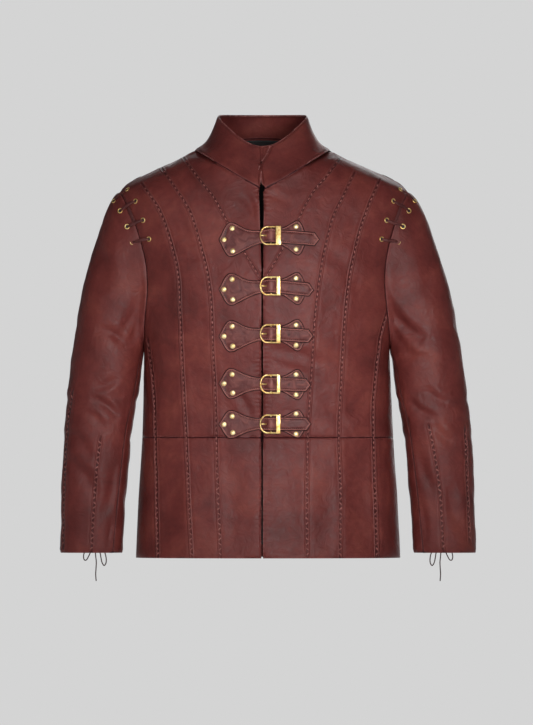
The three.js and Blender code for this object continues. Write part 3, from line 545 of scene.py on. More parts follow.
    def relief(self, tree: bpy.types.NodeTree, place: Any, slot: Any, puff: Any, fold: Any) -> Any:
        """Chains the bumps from the widest to the finest.

        Args:
            tree: Node tree that takes the nodes.
            place: Socket of the coordinates.
            slot: Socket of the stitch slots.
            puff: Socket of the puffs beside them.
            fold: Socket of the sewn groove along the free edges.

        Returns:
            Socket of the finished normal.
        """
        crease = add_node(
            tree, "ShaderNodeTexNoise",
            {"Scale": 1 / (22 * MM), "Detail": 4.0, "Roughness": 0.55, "Distortion": 1.6}, {"Vector": place})
        pores = add_node(
            tree, "ShaderNodeTexVoronoi",
            {"feature": "DISTANCE_TO_EDGE", "Scale": 1 / (self.pore * MM), "Randomness": 1.0},
            {"Vector": place})
        grain = add_node(
            tree, "ShaderNodeMapRange", {"From Min": 0.0, "From Max": 0.25},
            {"Value": pores.outputs["Distance"]}
        )
        pucker = add_node(tree, "ShaderNodeAttribute", {"attribute_name": "pucker"}).outputs["Fac"]
        wave = add_node(
            tree,
            "ShaderNodeTexWave",
            {
                "wave_type": "BANDS",
                "bands_direction": "Z",
                "Scale": math.pi / (10 * 8 * MM),
                "Distortion": 2.5,
                "Detail": 2.0,
                "Detail Scale": 1.5,
            },
            {"Vector": place},
        )
        ripple = add_node(
            tree, "ShaderNodeMath", {"operation": "MULTIPLY"}, {0: wave.outputs["Fac"], 1: pucker})
        stitch = add_node(tree, "ShaderNodeMath", {"operation": "SUBTRACT"}, {0: puff, 1: slot})
        sewn = add_node(
            tree, "ShaderNodeMath", {"operation": "SUBTRACT"}, {0: stitch.outputs["Value"], 1: fold})
        levels = (
            (crease.outputs["Fac"], 2.4 * MM, 0.55),
            (ripple.outputs["Value"], 1.8 * MM, 0.6),
            (sewn.outputs["Value"], 1.3 * MM, 0.9),
            (grain.outputs["Result"], 0.12 * MM, self.bump),
        )
        normal = None
        for height, distance, strength in levels:
            links = {"Height": height}
            if normal is not None:
                links["Normal"] = normal
            bump = add_node(tree, "ShaderNodeBump", {"Distance": distance, "Strength": strength}, links)
            normal = bump.outputs["Normal"]
        return normal


@dataclass(frozen=True)
class BridleLeather:
    """Two waxed layers glued and stitched: firm, with edge dye and painted contact shadow at its cut edge,
    painted shade in its stitch groove, and paler with wear and with a painted highlight on raised leather.
    """

    name: str
    field_colour: str
    # paler colour for wear and for a painted highlight
    rubbed: str
    roughness: float = 0.5
    # edge dye, also painted contact shadow at the cut edge and painted shade in the groove and the spare hole
    dyed: str = "#2b0f12"
    grain: float = 1.7  # drawn coarser than the real grain so that it shows

    def build(self) -> bpy.types.Material:
        """Makes the material; where a piece has them, it reads one attribute for wear and painted highlight
        and one for edge dye and painted shade.
        """
        material, tree, shader, place = new_material(self.name)
        patches = add_node(
            tree, "ShaderNodeTexNoise",
            {"Scale": 1 / (14 * MM), "Detail": 4.0, "Roughness": 0.5, "Distortion": 1.0}, {"Vector": place})
        # wear and painted highlight, from the piece
        rubbed = add_node(tree, "ShaderNodeAttribute", {"attribute_name": "rubbed"}).outputs["Fac"]
        share = add_node(
            tree, "ShaderNodeMapRange", {"From Min": 0.4, "From Max": 0.7, "To Min": 0.0, "To Max": 0.45},
            {"Value": patches.outputs["Fac"]})
        total = add_node(
            tree, "ShaderNodeMath", {"operation": "ADD", "use_clamp": True},
            {0: rubbed, 1: share.outputs["Result"]})
        ramp = add_node(tree, "ShaderNodeValToRGB", {}, {"Fac": total.outputs["Value"]})
        ramp.color_ramp.elements[0].color = linear(self.field_colour)
        ramp.color_ramp.elements[1].color = linear(self.rubbed)
        # edge dye and painted shade, from the piece
        dyed = add_node(tree, "ShaderNodeAttribute", {"attribute_name": "dyed"}).outputs["Fac"]
        tree.links.new(
            AnilineLeather.blend(tree, ramp.outputs["Color"], self.dyed, dyed), shader.inputs["Base Color"])
        pores = add_node(
            tree, "ShaderNodeTexVoronoi", {"feature": "DISTANCE_TO_EDGE", "Scale": 1 / (self.grain * MM)},
            {"Vector": place})
        wide = add_node(
            tree, "ShaderNodeBump", {"Distance": 2.4 * MM, "Strength": 0.6},
            {"Height": patches.outputs["Fac"]}
        )
        fine = add_node(
            tree, "ShaderNodeBump", {"Distance": 0.15 * MM, "Strength": 0.35},
            {"Height": pores.outputs["Distance"], "Normal": wide.outputs["Normal"]})
        tree.links.new(fine.outputs["Normal"], shader.inputs["Normal"])
        rough = add_node(
            tree,
            "ShaderNodeMapRange",
            {"From Min": 0.3, "From Max": 0.7,
             "To Min": self.roughness - 0.06, "To Max": self.roughness + 0.1},
            {"Value": patches.outputs["Fac"]},
        )
        tree.links.new(rough.outputs["Result"], shader.inputs["Roughness"])
        shader.inputs["Specular IOR Level"].default_value = 0.3
        return material


@dataclass(frozen=True)
class PolishedBrass:
    """Cast brass, tumbled and lacquered: pale gold, with fine scratches that soften its reflections."""

    name: str = "polished_brass"
    colour: str = "#f2d592"
    deep: str = "#cf9a48"
    roughness: float = 0.3

    def build(self) -> bpy.types.Material:
        """Makes the material."""
        material, tree, shader, place = new_material(self.name)
        shader.inputs["Metallic"].default_value = 1.0
        tarnish = add_node(
            tree, "ShaderNodeTexNoise", {"Scale": 1 / (4 * MM), "Detail": 4.0}, {"Vector": place})
        ramp = add_node(tree, "ShaderNodeValToRGB", {}, {"Fac": tarnish.outputs["Fac"]})
        ramp.color_ramp.elements[0].position = 0.3
        ramp.color_ramp.elements[0].color = linear(self.deep)
        ramp.color_ramp.elements[1].position = 0.6
        ramp.color_ramp.elements[1].color = linear(self.colour)
        tree.links.new(ramp.outputs["Color"], shader.inputs["Base Color"])
        scratch = add_node(
            tree, "ShaderNodeTexNoise", {"Scale": 1 / (0.6 * MM), "Detail": 3.0}, {"Vector": place})
        rough = add_node(
            tree, "ShaderNodeMapRange", {"To Min": self.roughness - 0.08, "To Max": self.roughness + 0.12},
            {"Value": scratch.outputs["Fac"]})
        tree.links.new(rough.outputs["Result"], shader.inputs["Roughness"])
        bump = add_node(
            tree, "ShaderNodeBump", {"Distance": 0.05 * MM, "Strength": 0.3},
            {"Height": scratch.outputs["Fac"]}
        )
        tree.links.new(bump.outputs["Normal"], shader.inputs["Normal"])
        return material


@dataclass(frozen=True)
class SatinLining:
    """Black polyester satin: a fine twill whose floats shine a little along the weave."""

    name: str = "black_satin_lining"
    colour: str = "#0f0c0d"
    thread: float = 1.2  # satin floats are 0.2 mm wide, drawn coarser so that they show

    def build(self) -> bpy.types.Material:
        """Makes the material."""
        material, tree, shader, place = new_material(self.name)
        slanted = add_node(
            tree, "ShaderNodeMapping", {"Rotation": (0.0, math.radians(35), 0.0)}, {"Vector": place})
        weave = add_node(
            tree, "ShaderNodeTexWave",
            {"bands_direction": "X", "Scale": math.pi / (10 * self.thread * MM), "Distortion": 0.6},
            {"Vector": slanted.outputs["Vector"]})
        ramp = add_node(tree, "ShaderNodeValToRGB", {}, {"Fac": weave.outputs["Fac"]})
        ramp.color_ramp.elements[0].color = linear(self.colour)
        ramp.color_ramp.elements[1].color = linear("#1b1718")
        tree.links.new(ramp.outputs["Color"], shader.inputs["Base Color"])
        bump = add_node(
            tree, "ShaderNodeBump", {"Distance": 0.1 * MM, "Strength": 0.3}, {"Height": weave.outputs["Fac"]}
        )
        tree.links.new(bump.outputs["Normal"], shader.inputs["Normal"])
        shader.inputs["Roughness"].default_value = 0.55
        shader.inputs["Sheen Weight"].default_value = 0.1
        return material


@dataclass(frozen=True)
class WaxedThread:
    """Bonded polyester thread, laid in S twist: the twist shows as a fine mottle."""

    name: str = "waxed_thread"

    def build(self) -> bpy.types.Material:
        """Makes the material."""
        material, tree, shader, place = new_material(self.name)
        twist = add_node(
            tree, "ShaderNodeTexNoise", {"Scale": 1 / (0.8 * MM), "Detail": 2.0}, {"Vector": place})
        ramp = add_node(tree, "ShaderNodeValToRGB", {}, {"Fac": twist.outputs["Fac"]})
        ramp.color_ramp.elements[0].color = linear("#6b3b39")
        ramp.color_ramp.elements[1].color = linear("#b07d76")
        tree.links.new(ramp.outputs["Color"], shader.inputs["Base Color"])
        shader.inputs["Roughness"].default_value = 0.55
        return material


@dataclass
class Finishes:
    """All the materials of the jacket, made once."""

    leather: bpy.types.Material = field(default_factory=lambda: AnilineLeather().build())
    strap: bpy.types.Material = field(
        default_factory=lambda: BridleLeather("dark_bridle_leather", "#5d2624", "#a4645c").build()
    )
    lace: bpy.types.Material = field(
        default_factory=lambda: BridleLeather("cut_lace_leather", "#8f504a", "#bb8078", grain=1.1).build()
    )
    flat_lace: bpy.types.Material = field(
        default_factory=lambda: BridleLeather("flat_lace_leather", "#542625", "#7c4743", grain=1.1).build()
    )
    cord: bpy.types.Material = field(
        default_factory=lambda: BridleLeather("round_lace_leather", "#3a1a1c", "#54292a", grain=1.0).build()
    )
    brass: bpy.types.Material = field(default_factory=lambda: PolishedBrass().build())
    rivet_brass: bpy.types.Material = field(
        default_factory=lambda: PolishedBrass("tumbled_brass", "#fbe6b4", "#dcb268", 0.46).build()
    )
    lining: bpy.types.Material = field(default_factory=lambda: SatinLining().build())
    thread: bpy.types.Material = field(default_factory=lambda: WaxedThread().build())


# ---- camera, studio
@dataclass
class Studio:
    """Level camera far in front, soft light, and a plain pale floor that runs into a pale surround."""

    aim: tuple[float, float] = (3.6, -374.7)  # x and z that the middle of the picture shows
    distance: float = 30000.0
    view_height: float = 1290.5
    sensor: float = 36.0
    floor_z: float = -1450.0  # where the wearer's floor is, well below the hem
    surround: str = "#d4d4d4"

    def build(self) -> None:
        """Makes the camera, the lights, the surround and the floor."""
        self.add_camera()
        self.add_lights()
        self.add_surround()
        self.add_floor()

    def add_camera(self) -> None:
        """Adds the camera; its sensor spans the picture's long side."""
        data = bpy.data.cameras.new("camera")
        data.sensor_width = self.sensor
        data.lens = self.sensor * self.distance / self.view_height
        data.clip_end = 100
        camera = bpy.data.objects.new("camera", data)
        camera.location = (self.aim[0] * MM, -self.distance * MM, self.aim[1] * MM)
        camera.rotation_euler = (math.radians(90), 0, 0)
        bpy.context.scene.collection.objects.link(camera)
        bpy.context.scene.camera = camera

    def add_lights(self) -> None:
        """Adds soft lights: a narrow one on the chest, and wide ones from the left, above and behind."""
        self.add_area("chest", (0.4, -2.2, -0.2), 0.6, 1.8, spread=42)
        self.add_area("left", (-1.1, -3.0, 0.0), 1.2, 12)
        self.add_area("high", (0.3, -2.6, 1.9), 1.2, 8.6)
        self.add_area("behind", (0.6, 4.2, 0.8), 3.0, 80)

    def add_area(
        self, name: str, place: tuple[float, float, float], size: float, power: float, spread: float = 180
    ) -> None:
        """Adds one square area light that looks at the middle of the jacket.

        Args:
            name: Name of the light.
            place: Its position in metres.
            size: Its side in metres.
            power: Its power in watts.
            spread: Angle of its beam in degrees.
        """
        data = bpy.data.lights.new(name, "AREA")
        data.size = size
        data.energy = power
        data.spread = math.radians(spread)
        light = bpy.data.objects.new(name, data)
        light.visible_camera = False
        light.location = place
        middle = Vector((self.aim[0] * MM, 0, self.aim[1] * MM))
        light.rotation_euler = (middle - light.location).to_track_quat("-Z", "Y").to_euler()
        bpy.context.scene.collection.objects.link(light)

    def add_surround(self) -> None:
        """Sets a pale surround that lights the jacket less than it shows."""
        scene = bpy.context.scene
        scene.view_settings.view_transform = "Standard"
        world = bpy.data.worlds.new("surround")
        world.use_nodes = True
        scene.world = world
        tree = world.node_tree
        tree.nodes.clear()
        rays = add_node(tree, "ShaderNodeLightPath")
        seen = add_node(tree, "ShaderNodeBackground", {"Color": linear(self.surround), "Strength": 1.0})
        soft = add_node(tree, "ShaderNodeBackground", {"Color": linear("#e8ecf0"), "Strength": 0.11})
        mix = add_node(
            tree,
            "ShaderNodeMixShader",
            {},
            {"Fac": rays.outputs["Is Camera Ray"], 1: soft.outputs["Background"],
             2: seen.outputs["Background"]},
        )
        add_node(tree, "ShaderNodeOutputWorld", {}, {"Surface": mix.outputs["Shader"]})

    def add_floor(self) -> None:
        """Adds the floor; past a few metres it glows like the surround, so that no horizon shows."""
        bpy.ops.mesh.primitive_circle_add(
            vertices=96, radius=60, fill_type="NGON", location=(0, 0, self.floor_z * MM))
        floor = bpy.context.object
        floor.name = "floor"
        material = bpy.data.materials.new("pale_matt_floor")
        material.use_nodes = True
        tree = material.node_tree
        tree.nodes.clear()
        place = add_node(tree, "ShaderNodeTexCoord").outputs["Object"]
        reach = add_node(tree, "ShaderNodeVectorMath", {"operation": "LENGTH"}, {0: place})
        share = add_node(
            tree, "ShaderNodeMapRange", {"From Min": 0.7, "From Max": 2.2, "To Min": 0.8},
            {"Value": reach.outputs["Value"]}
        )
        matt = add_node(tree, "ShaderNodeBsdfDiffuse", {"Color": linear("#dcdcdc")})
        glow = add_node(tree, "ShaderNodeEmission", {"Color": linear(self.surround), "Strength": 1.0})
        mix = add_node(
            tree, "ShaderNodeMixShader", {},
            {"Fac": share.outputs["Result"], 1: matt.outputs["BSDF"], 2: glow.outputs["Emission"]})
        add_node(tree, "ShaderNodeOutputMaterial", {}, {"Surface": mix.outputs["Shader"]})
        floor.data.materials.append(material)
        floor.visible_diffuse = False


# ---- garment sizes
DRIFT = ((-800, 6.5), (-722, 6.5), (-500, 5.8), (-350, 4.2), (-200, 2.2), (-70, -0.8), (0, -3.6), (30, -4.4))
CUFF_Z = -713.0
WAIST_Z = -508.0
CLOSURE_X = -4.0
SLEEVE_X = 220.0  # beyond this, a point that faces sideways is on a sleeve
LEATHER = 1.7
PITCH = 9.0  # from one lace stitch to the next


def drift(z: float) -> float:
    """x of the garment's middle line at a height, in millimetres."""
    return table_value(DRIFT, z)


@dataclass(frozen=True)
class Crease:
    """A soft trough with a low ridge beside it, from one point to another, seen from one direction."""

    start: tuple[float, float]
    end: tuple[float, float]
    wide: float
    deep: float
    bow: float = 0.0
    facing: Facing = Facing.FRONT

    def depth(self, points: np.ndarray, direction: np.ndarray) -> np.ndarray:
        """Measures how far the crease presses each point in.

        Args:
            points: Points in millimetres.
            direction: Outward normals.

        Returns:
            Distance inwards for each point, in millimetres.
        """
        across_axis = 1 if self.facing is Facing.OUTER else 0
        plane = points[:, [across_axis, 2]]
        if self.facing is Facing.OUTER:
            weight = np.abs(direction[:, 0]) * (np.abs(points[:, 0]) > SLEEVE_X)
        else:
            sign = -1 if self.facing is Facing.FRONT else 1
            weight = np.clip(sign * direction[:, 1], 0, 1)
        a, b = np.array(self.start, float), np.array(self.end, float)
        edge = b - a
        length = float(np.hypot(*edge))
        t = ((plane - a) @ edge) / length**2
        inside = np.clip(t, 0, 1)
        beyond = np.abs(t - inside) * length
        side = (edge[0] * (plane - a)[:, 1] - edge[1] * (plane - a)[:, 0]) / length
        side = side - self.bow * np.sin(np.pi * inside)
        u = np.hypot(side, beyond) / self.wide * np.sign(side + 1e-9)
        shape = np.exp(-(u**2)) - 0.4 * np.exp(-(((u - 1.6) / 0.9) ** 2))
        fade = np.exp(-((beyond / self.wide) ** 2)) * (0.45 + 0.55 * np.sin(np.pi * inside))
        return self.deep * shape * fade * np.sqrt(weight)


B, O = Facing.BACK, Facing.OUTER
TORSO_CREASES = (
    # the fronts, from the top
    Crease((-38, -80), (-10, -136), 8, 3.7, 4),
    Crease((-30, -78), (-9, -108), 6, 2.0),
    Crease((-60, -95), (-30, -150), 11, 1.7, 5),
    Crease((12, -74), (40, -92), 7, 1.7),
    Crease((-148, -164), (-98, -161), 4, 0.8),
    Crease((-152, -192), (-104, -187), 4, 1.0),
    Crease((-150, -298), (-104, -300), 4, 1.0),
    Crease((-206, -262), (-150, -318), 13, 3.4, 6),
    Crease((-204, -330), (-160, -352), 9, 2.4),
    Crease((-48, -428), (-24, -470), 6, 2.5, 3),
    Crease((-70, -452), (-30, -496), 8, 2.0),
    Crease((6, -350), (112, -382), 11, 2.2, 6),
    Crease((14, -376), (96, -398), 8, 1.5),
    Crease((206, -264), (150, -322), 13, 3.2, -6),
    Crease((208, -330), (160, -350), 9, 2.2),
    Crease((120, -180), (165, -240), 14, 2.0, 5),
    Crease((196, -440), (150, -470), 9, 2.0),
    Crease((-196, -430), (-148, -462), 9, 2.0),
    Crease((104, -440), (150, -492), 10, 1.7),
    Crease((-66, -540), (-58, -715), 26, 4.1, 5),
    Crease((-165, -560), (-172, -716), 22, 3.4),
    Crease((36, -540), (52, -716), 28, 3.7, -6),
    Crease((112, -600), (106, -718), 20, 2.7),
    Crease((168, -545), (176, -716), 22, 3.4),
    # the back
    Crease((-205, -150), (-70, -118), 20, 3.7, 8, B),
    Crease((205, -150), (75, -120), 20, 3.4, -8, B),
    Crease((-208, -260), (-110, -300), 14, 3.7, 6, B),
    Crease((206, -268), (118, -316), 15, 3.4, -7, B),
    Crease((-60, -70), (60, -64), 12, 2.0, 4, B),
    Crease((-170, -420), (-40, -446), 12, 3.7, 6, B),
    Crease((176, -404), (60, -440), 11, 3.4, -5, B),
    Crease((-120, -468), (30, -474), 9, 2.7, 3, B),
    Crease((-190, -352), (-150, -400), 10, 2.4, 3, B),
    Crease((188, -340), (150, -386), 10, 2.2, 3, B),
    Crease((-110, -540), (-120, -716), 26, 4.4, 6, B),
    Crease((-20, -560), (-14, -716), 24, 3.4, -5, B),
    Crease((84, -545), (92, -716), 28, 4.1, 5, B),
    Crease((170, -560), (178, -716), 22, 3.1, 0, B),
)
SLEEVE_CREASES = (
    # the wearer's right sleeve, from the top
    Crease((-214, -236), (-236, -338), 10, 7.1, 6),
    Crease((-226, -250), (-262, -330), 9, 3.8, 8),
    Crease((-292, -314), (-246, -342), 9, 3.8, 4),
    Crease((-300, -160), (-286, -240), 15, 3.8, 5),
    Crease((-264, -404), (-300, -420), 7, 3.4, 3),
    Crease((-302, -440), (-262, -470), 7, 4.2, 4),
    Crease((-320, -462), (-284, -492), 7, 2.9, 4),
    Crease((-352, -546), (-300, -612), 11, 5.0, 8),
    Crease((-344, -500), (-310, -540), 9, 2.9, 4),
    Crease((-268, -560), (-282, -640), 10, 3.4, 4),
    Crease((-262, -640), (-276, -700), 9, 2.5),
    # the wearer's left sleeve
    Crease((212, -258), (278, -330), 10, 6.7, -9),
    Crease((216, -286), (262, -360), 9, 3.8, -8),
    Crease((232, -352), (286, -366), 8, 2.9, -3),
    Crease((300, -170), (292, -250), 15, 3.4, -5),
    Crease((262, -446), (300, -470), 7, 4.2, -4),
    Crease((290, -424), (330, -448), 8, 3.4, -4),
    Crease((300, -486), (344, -520), 9, 3.8, -5),
    Crease((276, -540), (300, -600), 9, 3.4, -4),
    Crease((330, -600), (350, -668), 12, 3.4, -5),
    Crease((270, -620), (284, -690), 9, 2.9, 3),
) + tuple(
    Crease((s * a[0], a[1]), (s * b[0], b[1]), w, d, s * bow, B)
    for s in (-1, 1)
    for a, b, w, d, bow in (
        ((226, -300), (300, -322), 12, 4.8, 6),
        ((232, -346), (316, -380), 9, 4.0, 6),
        ((246, -430), (330, -444), 9, 5.6, 5),
        ((244, -466), (326, -490), 8, 4.4, -5),
        ((256, -520), (340, -508), 9, 3.6, 5),
        ((268, -590), (344, -612), 11, 3.6, -6),
        ((286, -640), (340, -690), 11, 2.8, 4),
    )
) + (
    Crease((-30, -300), (26, -330), 14, 1.5, 4, O),
    Crease((-34, -452), (18, -440), 9, 1.5, 3, O),
    Crease((-40, -500), (10, -520), 9, 1.3, 3, O),
    Crease((-36, -600), (6, -640), 12, 1.3, 3, O),
)

# Lace-stitched lines in the front view. The back has the same lines from its shoulders to its hem.
FRONT_LINES = {
    "right_inner": (
        (-142, -14), (-113, -53), (-90, -82), (-70, -118), (-52, -150), (-34, -182), (-18, -208), (-9, -224),
    ),
    "right_middle": (
        (-181, -32), (-156, -68), (-131, -110), (-111, -176), (-99, -228), (-93.5, -281),
        (-91.7, -344), (-87, -443), (-83.7, -577), (-78, -719),
    ),
    "right_outer": (
        (-214, -62), (-186, -105), (-166, -162), (-153, -219), (-149.5, -290), (-145, -392),
        (-139, -506), (-134, -618), (-129, -719),
    ),
    "right_side": ((-206.5, -340), (-197, -424), (-193, -543), (-191.5, -644), (-189.6, -719)),
    "left_inner": (
        (131, -16), (108.6, -46), (90, -67), (72, -96), (59, -124), (42, -156), (25, -185), (3, -224),
    ),
    "left_middle": (
        (157, -43), (140, -79), (122, -116), (108.6, -167), (98.8, -219), (90, -290),
        (83.7, -388), (77.4, -497), (75, -644), (76.2, -719),
    ),
    "left_outer": (
        (202, -56), (182.5, -102), (167, -149.5), (153, -213.6), (143.3, -290), (136.7, -399),
        (131.7, -508), (135, -600), (134.4, -719),
    ),
    "left_side": ((216, -290), (204.5, -338), (194.6, -424), (193, -488), (197.8, -644), (200, -719)),
}
BACK_LINES = {
    name: points for name, points in FRONT_LINES.items() if not name.endswith("inner")
} | {
    "right_inner": ((-96, -30), (-84, -110), (-62, -220), (-44, -340), (-34, -470), (-36, -600), (-42, -719)),
    "left_inner": ((90, -30), (82, -110), (66, -220), (50, -340), (42, -470), (44, -600), (52, -719)),
}
SLEEVE_LINES = {
    "right_cuff": ((-292, -512), (-297.6, -559), (-303, -628), (-307.5, -709)),
    "right_outer": ((-341.8, -431), (-349.8, -484), (-355, -566), (-358, -700)),
    "left_cuff": ((292.5, -490), (303.5, -545), (312.4, -612), (317.7, -706)),
    "left_outer": ((357, -497), (361, -602), (365, -690)),
}


# ---- cloth shells
@dataclass(frozen=True)
class Cut:
    """What a cloth piece was cut to before it was sewn: size and area in metres."""

    width: float
    length: float
    area: float
    rests_on: tuple[str, ...]
    thick: float = LEATHER
    creases: tuple[Crease, ...] = ()
    proud: float = 0.5  # moves the smoothed shell back out to the corners of its solid


class Shell:
    """A cloth piece: its solid's outer sheet, smoothed, creased, rolled in at the edges and thickened."""

    LEVELS = 3
    ROLL = 4.0  # width of the rolled edge
    ROLL_DEEP = 0.7
    SEAM_REACH = 7.0  # an edge this close to another cloth piece is sewn to it
    SEAM_MEET = 0.15  # how far a sewn edge reaches past the middle of the seam
    BORDER_REACH = 26.0  # how far in the sheet follows its border back to the solid's own

    def __init__(self, node: str, cut: Cut, lines: Sequence[np.ndarray]) -> None:
        """Keeps the node, its cut and the stitched lines on it, and takes its outer sheet."""
        self.node = node
        self.cut = cut
        self.lines = lines
        self.neighbours: list[Shell] = []
        self.piece = self.outer_sheet()
        self.border = self.border_samples()

    def sewn_to(self, other: "Shell") -> bool:
        """Whether a seam can join two pieces: the two fronts are never joined and the lining hangs free."""
        names = (self.node, other.node)
        fronts = any("front_right" in n for n in names) and any("front_left" in n for n in names)
        return other is not self and not fronts and "back_lining" not in names

    def border_samples(self) -> KDTree:
        """Points every half millimetre along a smooth line through the sheet's border, in millimetres."""
        points = coordinates(self.piece) / MM
        samples = []
        for loop in self.border_loops():
            ring = points[loop]
            before, after = np.roll(ring, 1, axis=0), np.roll(ring, -1, axis=0)
            for i, (p, q) in enumerate(zip(ring, after)):
                length = float(np.linalg.norm(q - p))
                start = self.tangent(before[i], p, q)
                end = self.tangent(after[(i + 1) % len(ring)], q, p)
                for t in np.linspace(0, 1, max(2, int(length / 0.5)), endpoint=False):
                    samples.append(
                        p * (1 + 2 * t) * (1 - t) ** 2
                        + q * t * t * (3 - 2 * t)
                        + start * length * t * (1 - t) ** 2
                        + end * length * t * t * (1 - t)
                    )
        tree = KDTree(len(samples))
        for number, sample in enumerate(samples):
            tree.insert(sample, number)
        tree.balance()
        return tree

    @staticmethod
    def tangent(before: np.ndarray, here: np.ndarray, after: np.ndarray) -> np.ndarray:
        """Direction of a smooth line that leaves a point towards the next; a sharp corner starts straight."""
        back, ahead = here - before, after - here
        far, near = float(np.linalg.norm(back)), float(np.linalg.norm(ahead))
        if float(back @ ahead) < 0.77 * far * near:
            return ahead / near
        return (back / far * near + ahead / near * far) / (far + near)

    def border_loops(self) -> list[list[int]]:
        """Vertex numbers of the sheet's borders in order."""
        links: dict[int, list[int]] = {}
        for a, b in self.border_edges(self.piece):
            links.setdefault(a, []).append(b)
            links.setdefault(b, []).append(a)
        loops = []
        while links:
            here = next(iter(links))
            loop = []
            while here in links:
                loop.append(here)
                ahead = [i for i in links.pop(here) if i in links]
                here = ahead[0] if ahead else -1
            loops.append(loop)
        return [loop for loop in loops if len(loop) > 3]

    @staticmethod
    def border_edges(piece: bpy.types.Object) -> list[tuple[int, int]]:
        """Edges of a sheet that have one face."""
        counts: dict[tuple[int, int], int] = {}
        for polygon in piece.data.polygons:
            for key in polygon.edge_keys:
                counts[key] = counts.get(key, 0) + 1
        return [key for key, count in counts.items() if count == 1]

    def outer_sheet(self) -> bpy.types.Object:
        """Copies the solid, merges it and keeps its outer side.

        Returns:
            A mesh object with an open sheet of quads.
        """
        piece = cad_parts[self.node].copy()
        piece.data = piece.data.copy()
        piece.parent = None
        for key in list(piece.keys()):
            del piece[key]
        bpy.context.scene.collection.objects.link(piece)
        piece.data.materials.clear()
        select_only(piece)
        bpy.ops.object.mode_set(mode="EDIT")
        bpy.ops.mesh.select_mode(type="FACE")
        bpy.ops.mesh.select_all(action="SELECT")
        bpy.ops.mesh.remove_doubles(threshold=1e-5)
        self.keep_outer(piece)
        bpy.ops.mesh.select_all(action="SELECT")
        bpy.ops.mesh.tris_convert_to_quads(face_threshold=math.radians(60), shape_threshold=math.pi)
        bpy.ops.object.mode_set(mode="OBJECT")
        return piece

    def keep_outer(self, piece: bpy.types.Object) -> None:
        """Deletes the rim and the inner side, in edit mode; the outer side is the larger of the two left."""
        mesh = bmesh.from_edit_mesh(piece.data)
        rim = [f for f in mesh.faces if min(e.calc_length() for e in f.edges) < 1.25 * self.cut.thick * MM]
        bmesh.ops.delete(mesh, geom=rim, context="FACES")
        left = set(mesh.faces)
        islands = []
        while left:
            todo = [left.pop()]
            island = list(todo)
            while todo:
                for edge in todo.pop().edges:
                    for near in edge.link_faces:
                        if near in left:
                            left.remove(near)
                            island.append(near)
                            todo.append(near)
            islands.append(island)
        islands.sort(key=lambda faces: sum(f.calc_area() for f in faces))
        for island in islands[:-1]:
            bmesh.ops.delete(mesh, geom=island, context="FACES")
        bmesh.update_edit_mesh(piece.data)

    def build(self, finishes: Finishes) -> bpy.types.Object:
        """Args:
            finishes: The jacket's materials.

        Returns:
            The finished piece.
        """
        piece = self.piece
        apply_modifier(piece, "SUBSURF", levels=self.LEVELS, render_levels=self.LEVELS,
                       boundary_smooth="PRESERVE_CORNERS")
        self.form(piece)
        apply_modifier(
            piece, "SOLIDIFY", thickness=self.cut.thick * MM, offset=-1.0, use_rim=True, material_offset=1)
        lined = self.node == "back_lining"
        facing = self.node == "collar"
        outside = finishes.lining if lined else finishes.leather
        inside = finishes.leather if facing else finishes.lining
        finish_piece(piece, self.node + "_cloth", [outside, inside], [self.node], angle=70)
        return piece

    def form(self, piece: bpy.types.Object) -> None:
        """Presses in the creases and the stitched lines, rolls the edges and stores what the finish reads."""
        points = coordinates(piece) / MM
        out = normals(piece)
        points, edge, free = self.follow_border(piece, points)
        depth = -self.cut.proud * np.clip(edge / 6, 0, 1)
        calm = np.clip(edge / 12, 0, 1) ** 2 * (3 - 2 * np.clip(edge / 12, 0, 1))
        for crease in self.cut.creases:
            depth += crease.depth(points, out) * np.maximum(calm, 0.4 * free)
        wander = np.array([noise.fractal(Vector(p) / 48, 1.0, 2.0, 3) for p in points])
        depth += 1.3 * wander * calm
        near, across, along = self.stitched(points)
        sewn = 0.8 * np.exp(-((near / 3.0) ** 2)) - 0.5 * np.exp(-(((near - 8) / 4) ** 2))
        depth += sewn * np.clip(edge / 5, 0, 1)
        rolled = np.clip(1 - edge / self.ROLL, 0, 1)
        depth += self.ROLL_DEEP * (0.35 + 0.65 * free) * rolled**2
        points = points - depth[:, None] * out
        points[:, 0] += self.closing(points)
        set_coordinates(piece, points * MM)
        # The finish reads rim and free to paint shade along the seams and a highlight on rolled edges and
        # lips, and stitch, along and across to paint shade in the slots and a highlight on the puffs.
        set_attribute(piece, "rim", np.minimum(edge, 20))
        set_attribute(piece, "free", free)
        set_attribute(piece, "stitch", np.clip((9 - near) / 3, 0, 1))
        set_attribute(piece, "along", along / PITCH)
        set_attribute(piece, "across", across)
        set_attribute(piece, "pucker", self.puckered(points))

